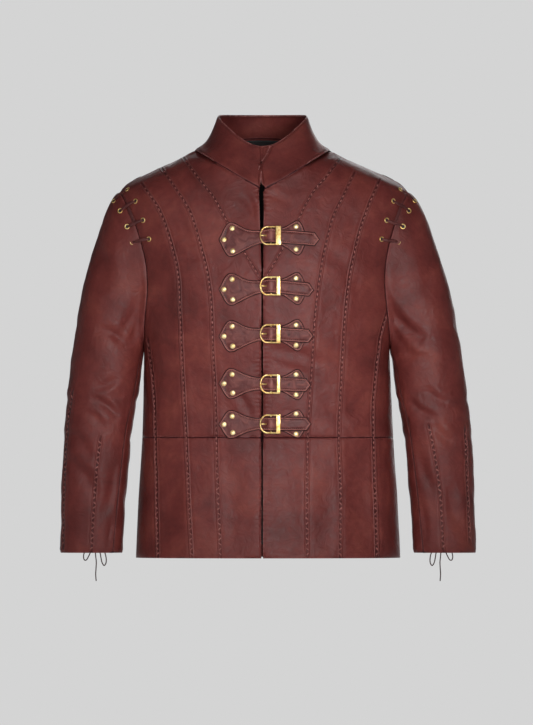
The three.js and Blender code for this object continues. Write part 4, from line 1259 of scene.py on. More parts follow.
    def follow_border(
        self, piece: bpy.types.Object, points: np.ndarray
    ) -> tuple[np.ndarray, np.ndarray, np.ndarray]:
        """Brings the smoothed border back onto the solid's own, and the sheet near it along.

        Args:
            piece: The smoothed sheet.
            points: Its points in millimetres.

        Returns:
            The moved points, their distances from the border, and 1 where that border is free or 0 at a seam.
        """
        border = sorted({i for key in self.border_edges(piece) for i in key})
        inner: dict[int, int] = {}
        on_border = set(border)
        for edge in piece.data.edges:
            a, b = edge.vertices
            if (a in on_border) != (b in on_border):
                inner[a if a in on_border else b] = b if a in on_border else a
        open_edge = 1.0 if self.node == "collar" else 0.6
        moves = {}
        tree = KDTree(len(border))
        for i in border:
            target = np.array(self.border.find(points[i])[0])
            other, _, gap = min((shell.border.find(target) for shell in self.neighbours), key=lambda f: f[2])
            sewn = gap < self.SEAM_REACH and self.node != "back_lining"
            if sewn:
                target = (target + np.array(other)) / 2
            if sewn and i in inner:
                away = points[i] - points[inner[i]]
                target += away / max(float(np.linalg.norm(away)), 1e-6) * self.SEAM_MEET
            moves[i] = (target - points[i], 0.0 if sewn else open_edge)
            tree.insert(points[i], i)
        tree.balance()
        edge = np.zeros(len(points))
        free = np.zeros(len(points))
        moved = points.copy()
        for number, point in enumerate(points):
            _, nearest, distance = tree.find(point)
            move, bare = moves[nearest]
            share = max(0.0, 1 - distance / self.BORDER_REACH)
            moved[number] += move * share * share * (3 - 2 * share)
            edge[number] = distance
            free[number] = bare
        return moved, edge, free

    def closing(self, points: np.ndarray) -> np.ndarray:
        """How far the front edges and the collar's ends move across, to close or open their gap."""
        if not (self.node.startswith("front") or self.node == "collar"):
            return np.zeros(len(points))
        x, z = points[:, 0], points[:, 2]
        centre = CLOSURE_X + 1.5 * (z < WAIST_Z)
        side = np.sign(x - centre)
        if self.node == "collar":
            low = np.clip((z + 66) / 10, 0, 1) * np.clip((-8 - z) / 14, 0, 1)
            inner = (side > 0) & (points[:, 1] < -20)
            return -7.0 * low * np.clip(1 - np.abs(x - centre) / 30, 0, 1) * inner
        near = np.clip(1 - np.abs(x - centre) / 22, 0, 1)
        shift = np.interp(z, (-722, -200, -150, -120, -80, -60), (-0.9, -0.8, 0.3, 0.9, 0.9, 0.3))
        return shift * near * side

    def stitched(self, points: np.ndarray) -> tuple[np.ndarray, np.ndarray, np.ndarray]:
        """Distance from the nearest stitched line, distance across it and length along it."""
        best = (np.full(len(points), 99.0), np.zeros(len(points)), np.zeros(len(points)))
        for line in self.lines:
            found = off_line(points[:, [0, 2]], line)
            closer = found[0] < best[0]
            for old, new in zip(best, found):
                old[closer] = new[closer]
        return best

    def puckered(self, points: np.ndarray) -> np.ndarray:
        """How much the hide puckers: along the front edges near the neck and above the waist."""
        if not self.node.startswith("front"):
            return np.zeros(len(points))
        from_edge = np.abs(points[:, 0] - CLOSURE_X)
        close = np.clip(1.15 - from_edge / 15, 0, 1)
        z = points[:, 2]
        high = np.exp(-(((z + 75) / 42) ** 2))
        low = np.exp(-(((z + 412) / 60) ** 2))
        skirt = 0.5 * np.exp(-(((z + 620) / 80) ** 2))
        return close * np.clip(high + low + skirt, 0, 1)


@dataclass
class Cloth:
    """All the cloth pieces of the jacket."""

    cuts: dict[str, Cut] = field(
        default_factory=lambda: {
            "front_right_upper": Cut(0.27, 0.52, 0.128, ("collar",), creases=TORSO_CREASES),
            "front_left_upper": Cut(0.28, 0.52, 0.135, ("collar",), creases=TORSO_CREASES),
            "front_right_skirt": Cut(0.29, 0.215, 0.060, ("front_right_upper",), creases=TORSO_CREASES),
            "front_left_skirt": Cut(0.31, 0.215, 0.064, ("front_left_upper",), creases=TORSO_CREASES),
            "back_upper": Cut(0.62, 0.54, 0.276, ("collar",), creases=TORSO_CREASES),
            "back_skirt": Cut(0.60, 0.215, 0.123, ("back_upper",), creases=TORSO_CREASES),
            "back_lining": Cut(0.17, 0.74, 0.114, ("back_upper",), thick=1.0, proud=0.0),
            "sleeve_right_top": Cut(0.33, 0.66, 0.137, ("front_right_upper",), LEATHER, SLEEVE_CREASES, 0.9),
            "sleeve_left_top": Cut(0.33, 0.66, 0.137, ("front_left_upper",), LEATHER, SLEEVE_CREASES, 0.9),
            "sleeve_right_under": Cut(0.17, 0.52, 0.062, ("back_upper",), LEATHER, SLEEVE_CREASES, 0.9),
            "sleeve_left_under": Cut(0.17, 0.52, 0.062, ("back_upper",), LEATHER, SLEEVE_CREASES, 0.9),
            "collar": Cut(0.44, 0.10, 0.039, ("back_upper",), thick=2.4, proud=0.6),
        }
    )
    pieces: dict[str, bpy.types.Object] = field(default_factory=dict)

    def lines_on(self, node: str) -> list[np.ndarray]:
        """Picks the stitched lines that run over a piece."""
        if node.startswith("front"):
            chosen = FRONT_LINES
        elif node in ("back_upper", "back_skirt"):
            chosen = BACK_LINES
        elif node.endswith("_top"):
            chosen = SLEEVE_LINES
        else:
            return []
        return [smooth_line(points, 6.0) for points in chosen.values()]

    def build(self, finishes: Finishes) -> None:
        """Builds every cloth piece."""
        shells = [Shell(node, cut, self.lines_on(node)) for node, cut in self.cuts.items()]
        for shell in shells:
            shell.neighbours = [other for other in shells if shell.sewn_to(other)] or [
                other for other in shells if other.node == "back_upper"
            ]
        for shell in shells:
            self.pieces[shell.node] = shell.build(finishes)


@dataclass
class Surface:
    """Finds points on a few finished pieces."""

    pieces: Sequence[bpy.types.Object]

    def __post_init__(self) -> None:
        """Builds one search tree for all the pieces."""
        points: list[Vector] = []
        faces: list[list[int]] = []
        for piece in self.pieces:
            start = len(points)
            points.extend(v.co.copy() for v in piece.data.vertices)
            faces.extend([start + i for i in p.vertices] for p in piece.data.polygons)
        self.tree = BVHTree.FromPolygons(points, faces)

    def hit(self, x: float, z: float, side: int = -1) -> tuple[Vector, Vector] | None:
        """Looks at the pieces from the front or from behind.

        Args:
            x: Place across, in millimetres.
            z: Height, in millimetres.
            side: -1 looks from the front and 1 from behind.

        Returns:
            Point in metres and outward normal, or None where there is nothing.
        """
        start = Vector((x * MM, side * 0.5, z * MM))
        point, normal, _, _ = self.tree.ray_cast(start, Vector((0, -side, 0)))
        if point is None:
            return None
        return point, normal if normal.y * side > 0 else -normal

    def nearest(self, point: Vector) -> tuple[Vector, Vector]:
        """Nearest point of the pieces and the normal there."""
        found, normal, _, _ = self.tree.find_nearest(point)
        return found, normal


# ---- cuff laces
@dataclass(frozen=True)
class Route:
    """A free stretch of a cuff lace: distances out from the middle line and down from the cuff's edge."""

    name: str
    points: tuple[tuple[float, float], ...]
    far_end: str


CUFF_ROUTES = (
    Route(
        "loop_outer",
        ((310.4, -4.6), (315, -2), (318, 4), (322.5, 12), (326.5, 12.5), (328, 6), (325.5, -2.2), (318, -6.2),
         (310.8, -7.4)),
        "object",
    ),
    Route(
        "loop_inner",
        ((303.6, -4.4), (299, -1), (297.2, 8), (295.2, 17), (291.4, 22.5), (288, 17), (288.2, 7),
         (291.5, -2.6), (297.5, -6.4), (303.2, -7.6)),
        "object",
    ),
    Route(
        "tail",
        ((307, -2.2), (306.4, 6), (305.4, 16), (305.8, 27), (306.4, 38), (305.6, 50)),
        "bare",
    ),
)


@dataclass
class CuffLaces:
    """The lace tied in a bow inside the front of each cuff: a knot, two loops and a free end."""

    diameter: float = 2.0
    knot: tuple[float, float] = (307.0, -5.0)
    behind_face: float = 2.2
    finishes: Finishes | None = None

    def build(self, finishes: Finishes) -> None:
        """Builds the laces of both cuffs."""
        self.finishes = finishes
        for side in Side:
            self.build_cuff(side)

    def build_cuff(self, side: Side) -> None:
        """Builds one cuff's knot and cords.

        Args:
            side: The wearer's side.
        """
        wall = Surface([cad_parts[f"sleeve_{side.word}_top"]])

        def place(half: float, down: float) -> tuple[float, float, float]:
            """Point inside the cuff's front wall, in millimetres."""
            x = drift(CUFF_Z) + side.value * half
            found = wall.hit(x, CUFF_Z + 6)
            y = found[0].y / MM + LEATHER + self.diameter / 2 + self.behind_face
            return (x, y, CUFF_Z - down)

        knot = self.build_knot(side, Vector(place(*self.knot)))
        for route in CUFF_ROUTES:
            path = [place(half, down) for half, down in route.points]
            self.build_cord(f"{route.name}_{side.word}", path, knot)

    def build_cord(
        self, node: str, path: Sequence[tuple[float, float, float]], knot: bpy.types.Object
    ) -> None:
        """Lays one round cord along its route.

        Args:
            node: CAD node that the cord stands for.
            path: Route in millimetres.
            knot: The knot that it comes out of; not used.
        """
        line = smooth_line(path, 1.0) * MM
        curve = bpy.data.curves.new(node + "_cord", "CURVE")
        curve.dimensions = "3D"
        curve.bevel_depth = self.diameter / 2 * MM
        curve.bevel_resolution = 3
        curve.use_fill_caps = True
        spline = curve.splines.new("POLY")
        spline.points.add(len(line) - 1)
        for point, target in zip(spline.points, line):
            point.co = (*target, 1.0)
        curve.materials.append(self.finishes.cord)
        cord = bpy.data.objects.new(node + "_cord", curve)
        bpy.context.scene.collection.objects.link(cord)
        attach(cord, BODY)
        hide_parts(node)
        log.info("%s: cord of %.0f mm", node, line_length(line) / MM)

    def build_knot(self, side: Side, middle: Vector) -> bpy.types.Object:
        """Ties the knot: a wrapped core with two crossing turns of the lace round it.

        Args:
            side: The wearer's side.
            middle: The knot's middle in millimetres.

        Returns:
            The knot.
        """
        for other in bpy.context.selected_objects:
            other.select_set(False)
        bpy.ops.mesh.primitive_uv_sphere_add(
            segments=20, ring_count=12, radius=2.3 * MM, location=middle * MM)
        parts = [bpy.context.object]
        for tilt in (-35, 35):
            bpy.ops.mesh.primitive_torus_add(
                major_radius=2.1 * MM, minor_radius=0.8 * MM, major_segments=28, minor_segments=10,
                location=middle * MM,
                rotation=(math.radians(90 + tilt), math.radians(90), math.radians(tilt)))
            parts.append(bpy.context.object)
        select_only(parts[0])
        for part in parts:
            part.select_set(True)
        bpy.ops.object.join()
        bpy.ops.object.transform_apply(location=True, rotation=True, scale=True)
        return finish_piece(
            parts[0], f"bow_knot_{side.word}", [self.finishes.cord], [f"knot_{side.word}"])


# ---- lace stitching
@dataclass
class LaceStitches:
    """The cut lace that is sewn along the panel lines, one raised bit for each stitch."""

    wide: float = 2.8
    high: float = 1.9
    whipped_below: float = WAIST_Z - 55.0

    def bit(self, long: float) -> Shape:
        """Models one raised bit: a cube whose ends are drawn in and whose edges are rounded.

        Args:
            long: Its length in millimetres.

        Returns:
            Its points and faces, lying along local x with its foot at z 0.
        """
        bpy.ops.object.select_all(action="DESELECT")
        bpy.ops.mesh.primitive_cube_add(size=1.0)
        piece = bpy.context.object
        piece.scale = (long * MM, self.wide * MM, self.high * MM)
        bpy.ops.object.transform_apply(scale=True)
        bpy.ops.object.mode_set(mode="EDIT")
        bpy.ops.mesh.select_all(action="SELECT")
        bpy.ops.mesh.subdivide(number_cuts=1)
        bpy.ops.object.mode_set(mode="OBJECT")
        points = coordinates(piece)
        far = np.abs(points[:, 0]) / (long * MM / 2)
        points[:, 1] *= 1 - 0.45 * far**2
        top = points[:, 2] > 0.2 * self.high * MM
        points[top, 2] *= 1 - 0.75 * far[top] ** 2
        set_coordinates(piece, points)
        apply_modifier(piece, "SUBSURF", levels=1, render_levels=1)
        return take_mesh(piece)

    def build(self, cloth: Cloth, finishes: Finishes) -> None:
        """Sews every line.

        Args:
            cloth: The finished cloth pieces.
            finishes: The jacket's materials.
        """
        shapes = {sewing: self.bit(sewing.value[0]) for sewing in Sewing}
        fronts = [cloth.pieces[n] for n in cloth.pieces if n.startswith("front")]
        backs = [cloth.pieces[n] for n in ("back_upper", "back_skirt")]
        sleeves = [cloth.pieces[n] for n in cloth.pieces if n.startswith("sleeve")]
        groups = (
            ("front", FRONT_LINES, Surface(fronts), -1),
            ("back", BACK_LINES, Surface(backs), 1),
            ("sleeve", SLEEVE_LINES, Surface(sleeves), -1),
        )
        for group, lines, surface, side in groups:
            for name, points in lines.items():
                places = self.places(points, surface, side, group == "sleeve")
                for sewing, found in places.items():
                    if found:
                        piece = copies(f"lace_{sewing.name.lower()}_{group}_{name}", shapes[sewing], found)
                        finish_piece(piece, piece.name, [finishes.lace])

    def places(
        self, points: Sequence[tuple[float, float]], surface: Surface, side: int, whipped: bool
    ) -> dict[Sewing, list[Matrix]]:
        """Places one line's stitches on the cloth.

        Args:
            points: The line in the front view, in millimetres.
            surface: The cloth under it.
            side: -1 for the front and 1 for the back.
            whipped: Whether the whole line is whipped.

        Returns:
            One matrix for each stitch, by the way it is sewn.
        """
        line = smooth_line(points, PITCH)
        found: dict[Sewing, list[Matrix]] = {sewing: [] for sewing in Sewing}
        for number, (a, b) in enumerate(zip(line, line[1:])):
            middle = (a + b) / 2
            before = surface.hit(*(middle - 0.3 * (b - a)), side)
            after = surface.hit(*(middle + 0.3 * (b - a)), side)
            here = surface.hit(*middle, side)
            if not (before and after and here):
                continue
            along = after[0] - before[0]
            if along.length > 3 * PITCH * MM:
                continue
            sewing = Sewing.WHIPPED if whipped or middle[1] < self.whipped_below else Sewing.RUNNING
            turn = Matrix.Rotation(math.radians(sewing.value[1] * (-1) ** number), 4, "Z")
            found[sewing].append(place_on(here[0], here[1], along, 0.1 * MM) @ turn)
        return found


# ---- closures
@dataclass(frozen=True)
class Closure:
    """One closure: heights of shields, buckle and strap end, shield height, x of the point, keeper width."""

    shield_z: float
    buckle_z: float
    end_z: float
    shield: float
    end_x: float
    keeper: float
    end_worn: float = 0.1
    spare: float = 0.8  # how deep the spare hole beside the buckle is pressed, which also sets its painted shade


CLOSURES = (
    Closure(-157, -150.5, -157, 62, 98, 9.6, end_worn=0.8, spare=0.0),
    Closure(-245, -239, -246.5, 58, 88, 6.8, spare=0.5),
    Closure(-328, -323, -328, 57, 87, 7.4),
    Closure(-412, -412.5, -414.5, 55, 82.5, 6.2),
    Closure(-484.5, -483.5, -483.5, 51, 83, 7.6, spare=0.3),
)
SHIELD = (
    (0, 0.05), (4, 0.3), (8, 0.58), (12, 0.8), (16, 0.94), (20, 1.0), (26, 0.98), (34, 0.86), (46, 0.65),
    (60, 0.48), (72, 0.41),
)
STRAP_RISE = (
    (-81, 0.3), (-14, 0.3), (-6, 0.5), (-1, 0.8), (3, 2.9), (7, 5.6), (11.6, 7.0), (15.4, 6.2), (20, 3.9),
    (25, 2.9), (31, 2.6), (77, 2.6), (86, 1.3), (98, 0.9),
)


class Ground:
    """The front under one closure as a smooth surface, also across the gap between the two fronts."""

    REACH_X = (-92.0, 108.0)
    HALF_Z = 36.0
    POWERS = tuple((i, j) for i in range(6) for j in range(3))

    def __init__(self, surface: Surface, middle_z: float) -> None:
        """Fits the surface to points of the cloth.

        Args:
            surface: The two fronts.
            middle_z: Height of the closure in millimetres.
        """
        self.middle_z = middle_z
        rows = []
        depths = []
        for x in np.linspace(*self.REACH_X, 51):
            for z in np.linspace(middle_z - self.HALF_Z, middle_z + self.HALF_Z, 17):
                found = surface.hit(x, z)
                if found and abs(x - CLOSURE_X) > 5:
                    rows.append(self.terms(x, z))
                    depths.append(found[0].y / MM)
        self.factors, *_ = np.linalg.lstsq(np.array(rows), np.array(depths), rcond=None)

    def terms(self, x: float, z: float) -> np.ndarray:
        """Powers of the two coordinates, scaled to about one."""
        a, b = x / 100, (z - self.middle_z) / 40
        return np.array([a**i * b**j for i, j in self.POWERS])

    def y(self, x: float, z: float) -> float:
        """Depth of the surface in millimetres."""
        return float(self.terms(x, z) @ self.factors)

    def at(self, x: float, z: float, out: float = 0.0) -> tuple[Vector, Vector]:
        """Point of the surface moved out, in metres, and the outward normal."""
        d = 1.0
        slope_x = (self.y(x + d, z) - self.y(x - d, z)) / (2 * d)
        slope_z = (self.y(x, z + d) - self.y(x, z - d)) / (2 * d)
        normal = Vector((slope_x, -1, slope_z)).normalized()
        return (Vector((x, self.y(x, z), z)) + normal * out) * MM, normal


@dataclass
class Outline:
    """Outline of a flat leather piece: half height and middle height over x, in millimetres."""

    half: Callable[[float], float]
    middle: Callable[[float], float]
    from_x: float
    to_x: float

    def ring(self) -> np.ndarray:
        """The closed outline as points of x and z."""
        xs = np.linspace(self.from_x, self.to_x, 160)
        upper = [(x, self.middle(x) + self.half(x)) for x in xs]
        lower = [(x, self.middle(x) - self.half(x)) for x in xs[::-1]]
        return np.array([*upper, *lower, upper[0]])


@dataclass
class StitchedLeather:
    """A flat double-layer piece with a turned, raised edge and a stitched groove inside it."""

    outline: Outline
    rise: Callable[[float], float]
    thick: float
    open_ends: tuple[float, ...] = ()  # x of the ends that have no turned edge
    groove: float = 4.1  # from the edge to the stitch row
    wear: tuple[tuple[float, float, float], ...] = ()  # x, reach and share of each band painted lighter, for wear and a painted highlight
    columns: tuple[float, ...] = (0, 0.5, 1.1, 1.7, 2.3, 2.9, 3.5, 4.1, 4.7, 5.5, 8.0)

    def edge_distance(self, places: np.ndarray) -> np.ndarray:
        """Distance of places from the turned edge."""
        ring = self.outline.ring()
        for x in self.open_ends:
            ring = ring[np.abs(ring[:, 0] - x) > 0.01]
        near = off_line(places, ring)[0]
        for x in self.open_ends:
            near = np.where(np.abs(places[:, 0] - x) < 1e-6, np.maximum(near, 1.5), near)
        return near

    def height(self, d: np.ndarray) -> np.ndarray:
        """Height of the face over the piece's foot at a distance from its edge."""
        round_in = np.clip(1 - d / 1.5, 0, 1) ** 2
        bead = 0.5 * np.exp(-(((d - 2.4) / 0.9) ** 2))
        dip = 0.75 * np.exp(-(((d - self.groove) / 0.75) ** 2))
        pillow = 0.3 * (1 - np.exp(-np.clip(d - 4.5, 0, None) / 5))
        return self.thick * (1 - 0.6 * round_in) + bead - dip + pillow

    def build(self, ground: Ground, name: str) -> bpy.types.Object:
        """Models the piece as a grid laid on the ground, thickened downwards.

        Args:
            ground: The front under the piece.
            name: Name of the object; not used.

        Returns:
            The mesh object without materials.
        """
        outline = self.outline
        length = outline.to_x - outline.from_x
        near_end = np.array([0, 0.5, 1.1, 1.8, 2.5, 3.1, 3.6, 4.1, 4.8, 5.8])
        inner = np.linspace(7, length - 7, max(8, round((length - 14) / 1.6)))
        stops = np.concatenate([near_end, inner, length - near_end[::-1]])
        xs = outline.from_x + stops
        columns = 2 * len(self.columns) + 1
        bpy.ops.object.select_all(action="DESELECT")
        bpy.ops.mesh.primitive_grid_add(x_subdivisions=len(xs) - 1, y_subdivisions=columns - 1, size=1.0)
        piece = bpy.context.object
        order = np.lexsort((coordinates(piece)[:, 0].round(5), coordinates(piece)[:, 1].round(5)))
        places = np.zeros((len(order), 2))
        share = np.array(self.columns)
        for i, x in enumerate(xs):
            half = max(outline.half(x), 0.4)
            d = share * min(1.0, 0.9 * half / share[-1])
            offsets = np.concatenate([d - half, [0.0], (half - d)[::-1]])
            for j, offset in enumerate(offsets):
                places[order[j * len(xs) + i]] = (x, outline.middle(x) + offset)
        distance = self.edge_distance(places)
        heights = self.height(distance)
        points = []
        for (x, z), h in zip(places, heights):
            point, _ = ground.at(x, z, self.rise(x) + h)
            points.append(point)
        set_coordinates(piece, np.array(points))
        band_wear_and_highlight = sum(share * np.exp(-(((places[:, 0] - x) / reach) ** 2)) for x, reach, share in self.wear)
        # painted highlight on the raised bead inside the edge, plus the bands of wear and painted highlight
        set_attribute(piece, "rubbed", 0.9 * np.exp(-(((distance - 2.6) / 0.8) ** 2)) + band_wear_and_highlight)
        # edge dye with painted contact shadow at the cut edge, and painted shade in the stitch groove
        dark = 1.2 * np.exp(-((distance / 1.6) ** 4)) + 0.8 * np.exp(-(((distance - self.groove) / 0.6) ** 2))
        set_attribute(piece, "dyed", np.clip(dark, 0, 1))
        self.face_out(piece)
        apply_modifier(piece, "SOLIDIFY", thickness=0.55 * self.thick * MM, offset=-1.0, use_rim=True)
        return piece

    @staticmethod
    def face_out(piece: bpy.types.Object) -> None:
        """Turns the grid's faces to the front."""
        if sum(p.normal.y * p.area for p in piece.data.polygons) > 0:
            select_only(piece)
            bpy.ops.object.mode_set(mode="EDIT")
            bpy.ops.mesh.select_all(action="SELECT")
            bpy.ops.mesh.flip_normals()
            bpy.ops.object.mode_set(mode="OBJECT")

    def stitches(self, ground: Ground, pitch: float) -> list[Matrix]:
        """Places thread stitches in the groove.

        Args:
            ground: The front under the piece.
            pitch: From one stitch to the next, in millimetres.

        Returns:
            One matrix for each stitch.
        """
        ring = self.outline.ring()
        inner = []
        for before, here, after in zip(np.roll(ring[:-1], 1, axis=0), ring[:-1], ring[1:]):
            edge = after - before
            length = float(np.hypot(*edge))
            if length < 1e-9:
                continue
            normal = np.array([edge[1], -edge[0]]) / length
            inner.append(here + normal * self.groove)
        inner = np.array([p for p in inner if off_line(np.array([p]), ring)[0][0] > self.groove - 0.35])
        inner = np.array([p for p in inner if all(abs(p[0] - x) > 2 for x in self.open_ends)])
        steps = np.concatenate([[0], np.cumsum(np.linalg.norm(np.diff(inner, axis=0), axis=1))])
        wanted = np.arange(pitch / 2, steps[-1], pitch)
        line = np.stack([np.interp(wanted, steps, inner[:, k]) for k in (0, 1)], axis=1)
        found = []
        for a, b in zip(line, line[1:]):
            if np.hypot(*(b - a)) > 1.5 * pitch:
                continue
            x, z = (a + b) / 2
            face = self.rise(x) + float(self.height(np.array([self.groove]))[0])
            point, normal = ground.at(x, z, face)
            ahead, _ = ground.at(x + (b - a)[0] * 0.3, z + (b - a)[1] * 0.3, face)
            found.append(place_on(point, normal, ahead - point, 0.4 * MM))
        return found


@dataclass
class Buckle:
    """Heel-bar buckle with a bent rod frame, a middle bar, a flat keeper bar and a prong."""

    bar_x: float = 11.6
    bar_out: float = 3.8
    bar_radius: float = 1.3
    rod: float = 1.6
    half: float = 15.7
    round_reach: float = 11.9
    shoulder: float = 5.0
    knee: float = 14.0  # where the legs start to rise to the keeper
    left_out: float = 5.2
    keeper_x: float = 24.6
    keeper_thick: float = 1.9
    keeper_out: float = 7.6
    prong_radius: float = 1.45

    def height(self, x: float) -> float:
        """Height of the frame's rod over the front at x."""
        share = (x - self.bar_x) / (self.keeper_x - self.bar_x)
        return self.left_out + (self.keeper_out - self.left_out) * min(1.0, max(0.0, share))

    def frame_rod(self) -> bpy.types.Object:
        """Bends the frame: a circle is extruded along one leg, spun round the end and extruded back.

        Returns:
            The rod in the buckle's own frame, in metres.
        """
        end = self.keeper_x + 2
        bpy.ops.object.select_all(action="DESELECT")
        bpy.ops.mesh.primitive_circle_add(
            vertices=16, radius=self.rod * MM, fill_type="NGON", rotation=(0, math.radians(90), 0),
            location=(end * MM, self.half * MM, 0))
        piece = bpy.context.object
        bpy.ops.object.transform_apply(location=True, rotation=True, scale=True)
        bpy.ops.object.mode_set(mode="EDIT")
        bpy.ops.mesh.select_all(action="SELECT")
        leg = ((self.knee - end) * MM, (self.shoulder - self.knee) * MM)
        for step in leg:
            bpy.ops.mesh.extrude_region_move(TRANSFORM_OT_translate={"value": (step, 0, 0)})
        centre = (self.shoulder * MM, 0, 0)
        bpy.ops.mesh.spin(steps=24, angle=math.radians(-180), center=centre, axis=(0, 0, 1))
        for step in reversed(leg):
            bpy.ops.mesh.extrude_region_move(TRANSFORM_OT_translate={"value": (-step, 0, 0)})
        bpy.ops.mesh.select_all(action="SELECT")
        bpy.ops.mesh.remove_doubles(threshold=1e-6)
        bpy.ops.mesh.normals_make_consistent(inside=False)
        bpy.ops.object.mode_set(mode="OBJECT")
        points = coordinates(piece) / MM
        beyond = points[:, 0] < self.shoulder
        reach = (self.round_reach + self.rod) / (self.half + self.rod)
        points[beyond, 0] = self.shoulder + (points[beyond, 0] - self.shoulder) * reach
        points[:, 2] += [self.height(x) for x in points[:, 0]]
        set_coordinates(piece, points * MM)
        return piece

    def parts(self, keeper_wide: float) -> list[bpy.types.Object]:
        """Models the frame, the middle bar and the keeper bar, whose width is in millimetres."""
        frame_rod = self.frame_rod()
        bpy.ops.mesh.primitive_cylinder_add(
            vertices=20, radius=self.bar_radius * MM, depth=2 * self.half * MM,
            rotation=(math.radians(90), 0, 0), location=(self.bar_x * MM, 0, self.bar_out * MM))
        bar = bpy.context.object
        bpy.ops.mesh.primitive_cube_add(size=1.0, location=(self.keeper_x * MM, 0, self.keeper_out * MM))
        keeper = bpy.context.object
        keeper.scale = (keeper_wide * MM, 2 * (self.half + self.rod) * MM, self.keeper_thick * MM)
        bpy.ops.object.transform_apply(location=True, rotation=True, scale=True)
        apply_modifier(keeper, "BEVEL", width=0.9 * MM, segments=5, limit_method="ANGLE")
        return [frame_rod, bar, keeper]

    def prong(self) -> list[bpy.types.Object]:
        """Models the prong: an arm from the bar to the frame's round end, and its eye round the bar."""
        tip = self.left_out + self.rod + self.prong_radius + 0.35
        path = ((self.bar_x - 2.4, 0, self.bar_out - 0.2), (5.2, 0, 4.2), (1, 0, tip - 1.6),
                (-3, 0, tip - 0.2),
                (-8.4, 0, tip))
        line = smooth_line(path, 0.8) * MM
        curve = bpy.data.curves.new("prong_arm", "CURVE")
        curve.dimensions = "3D"
        curve.bevel_depth = self.prong_radius * MM
        curve.bevel_resolution = 4
        curve.use_fill_caps = True
        spline = curve.splines.new("POLY")
        spline.points.add(len(line) - 1)
        for number, (point, target) in enumerate(zip(spline.points, line)):
            point.co = (*target, 1.0)
            point.radius = 1.0 - 0.35 * max(0.0, number / (len(line) - 1) - 0.75) * 4
        arm = bpy.data.objects.new("prong_arm", curve)
        bpy.context.scene.collection.objects.link(arm)
        select_only(arm)
        bpy.ops.object.convert(target="MESH")
        arm = bpy.context.object
        bpy.ops.object.select_all(action="DESELECT")
        bpy.ops.mesh.primitive_torus_add(
            major_radius=(self.bar_radius + 0.9) * MM, minor_radius=0.6 * MM,
            major_segments=24, minor_segments=8,
            rotation=(math.radians(90), 0, 0), location=(self.bar_x * MM, 0, self.bar_out * MM),
        )
        eye = bpy.context.object
        bpy.ops.object.transform_apply(location=True, rotation=True, scale=True)
        set_coordinates(eye, coordinates(eye) * [1, 1.6, 1])
        return [arm, eye]


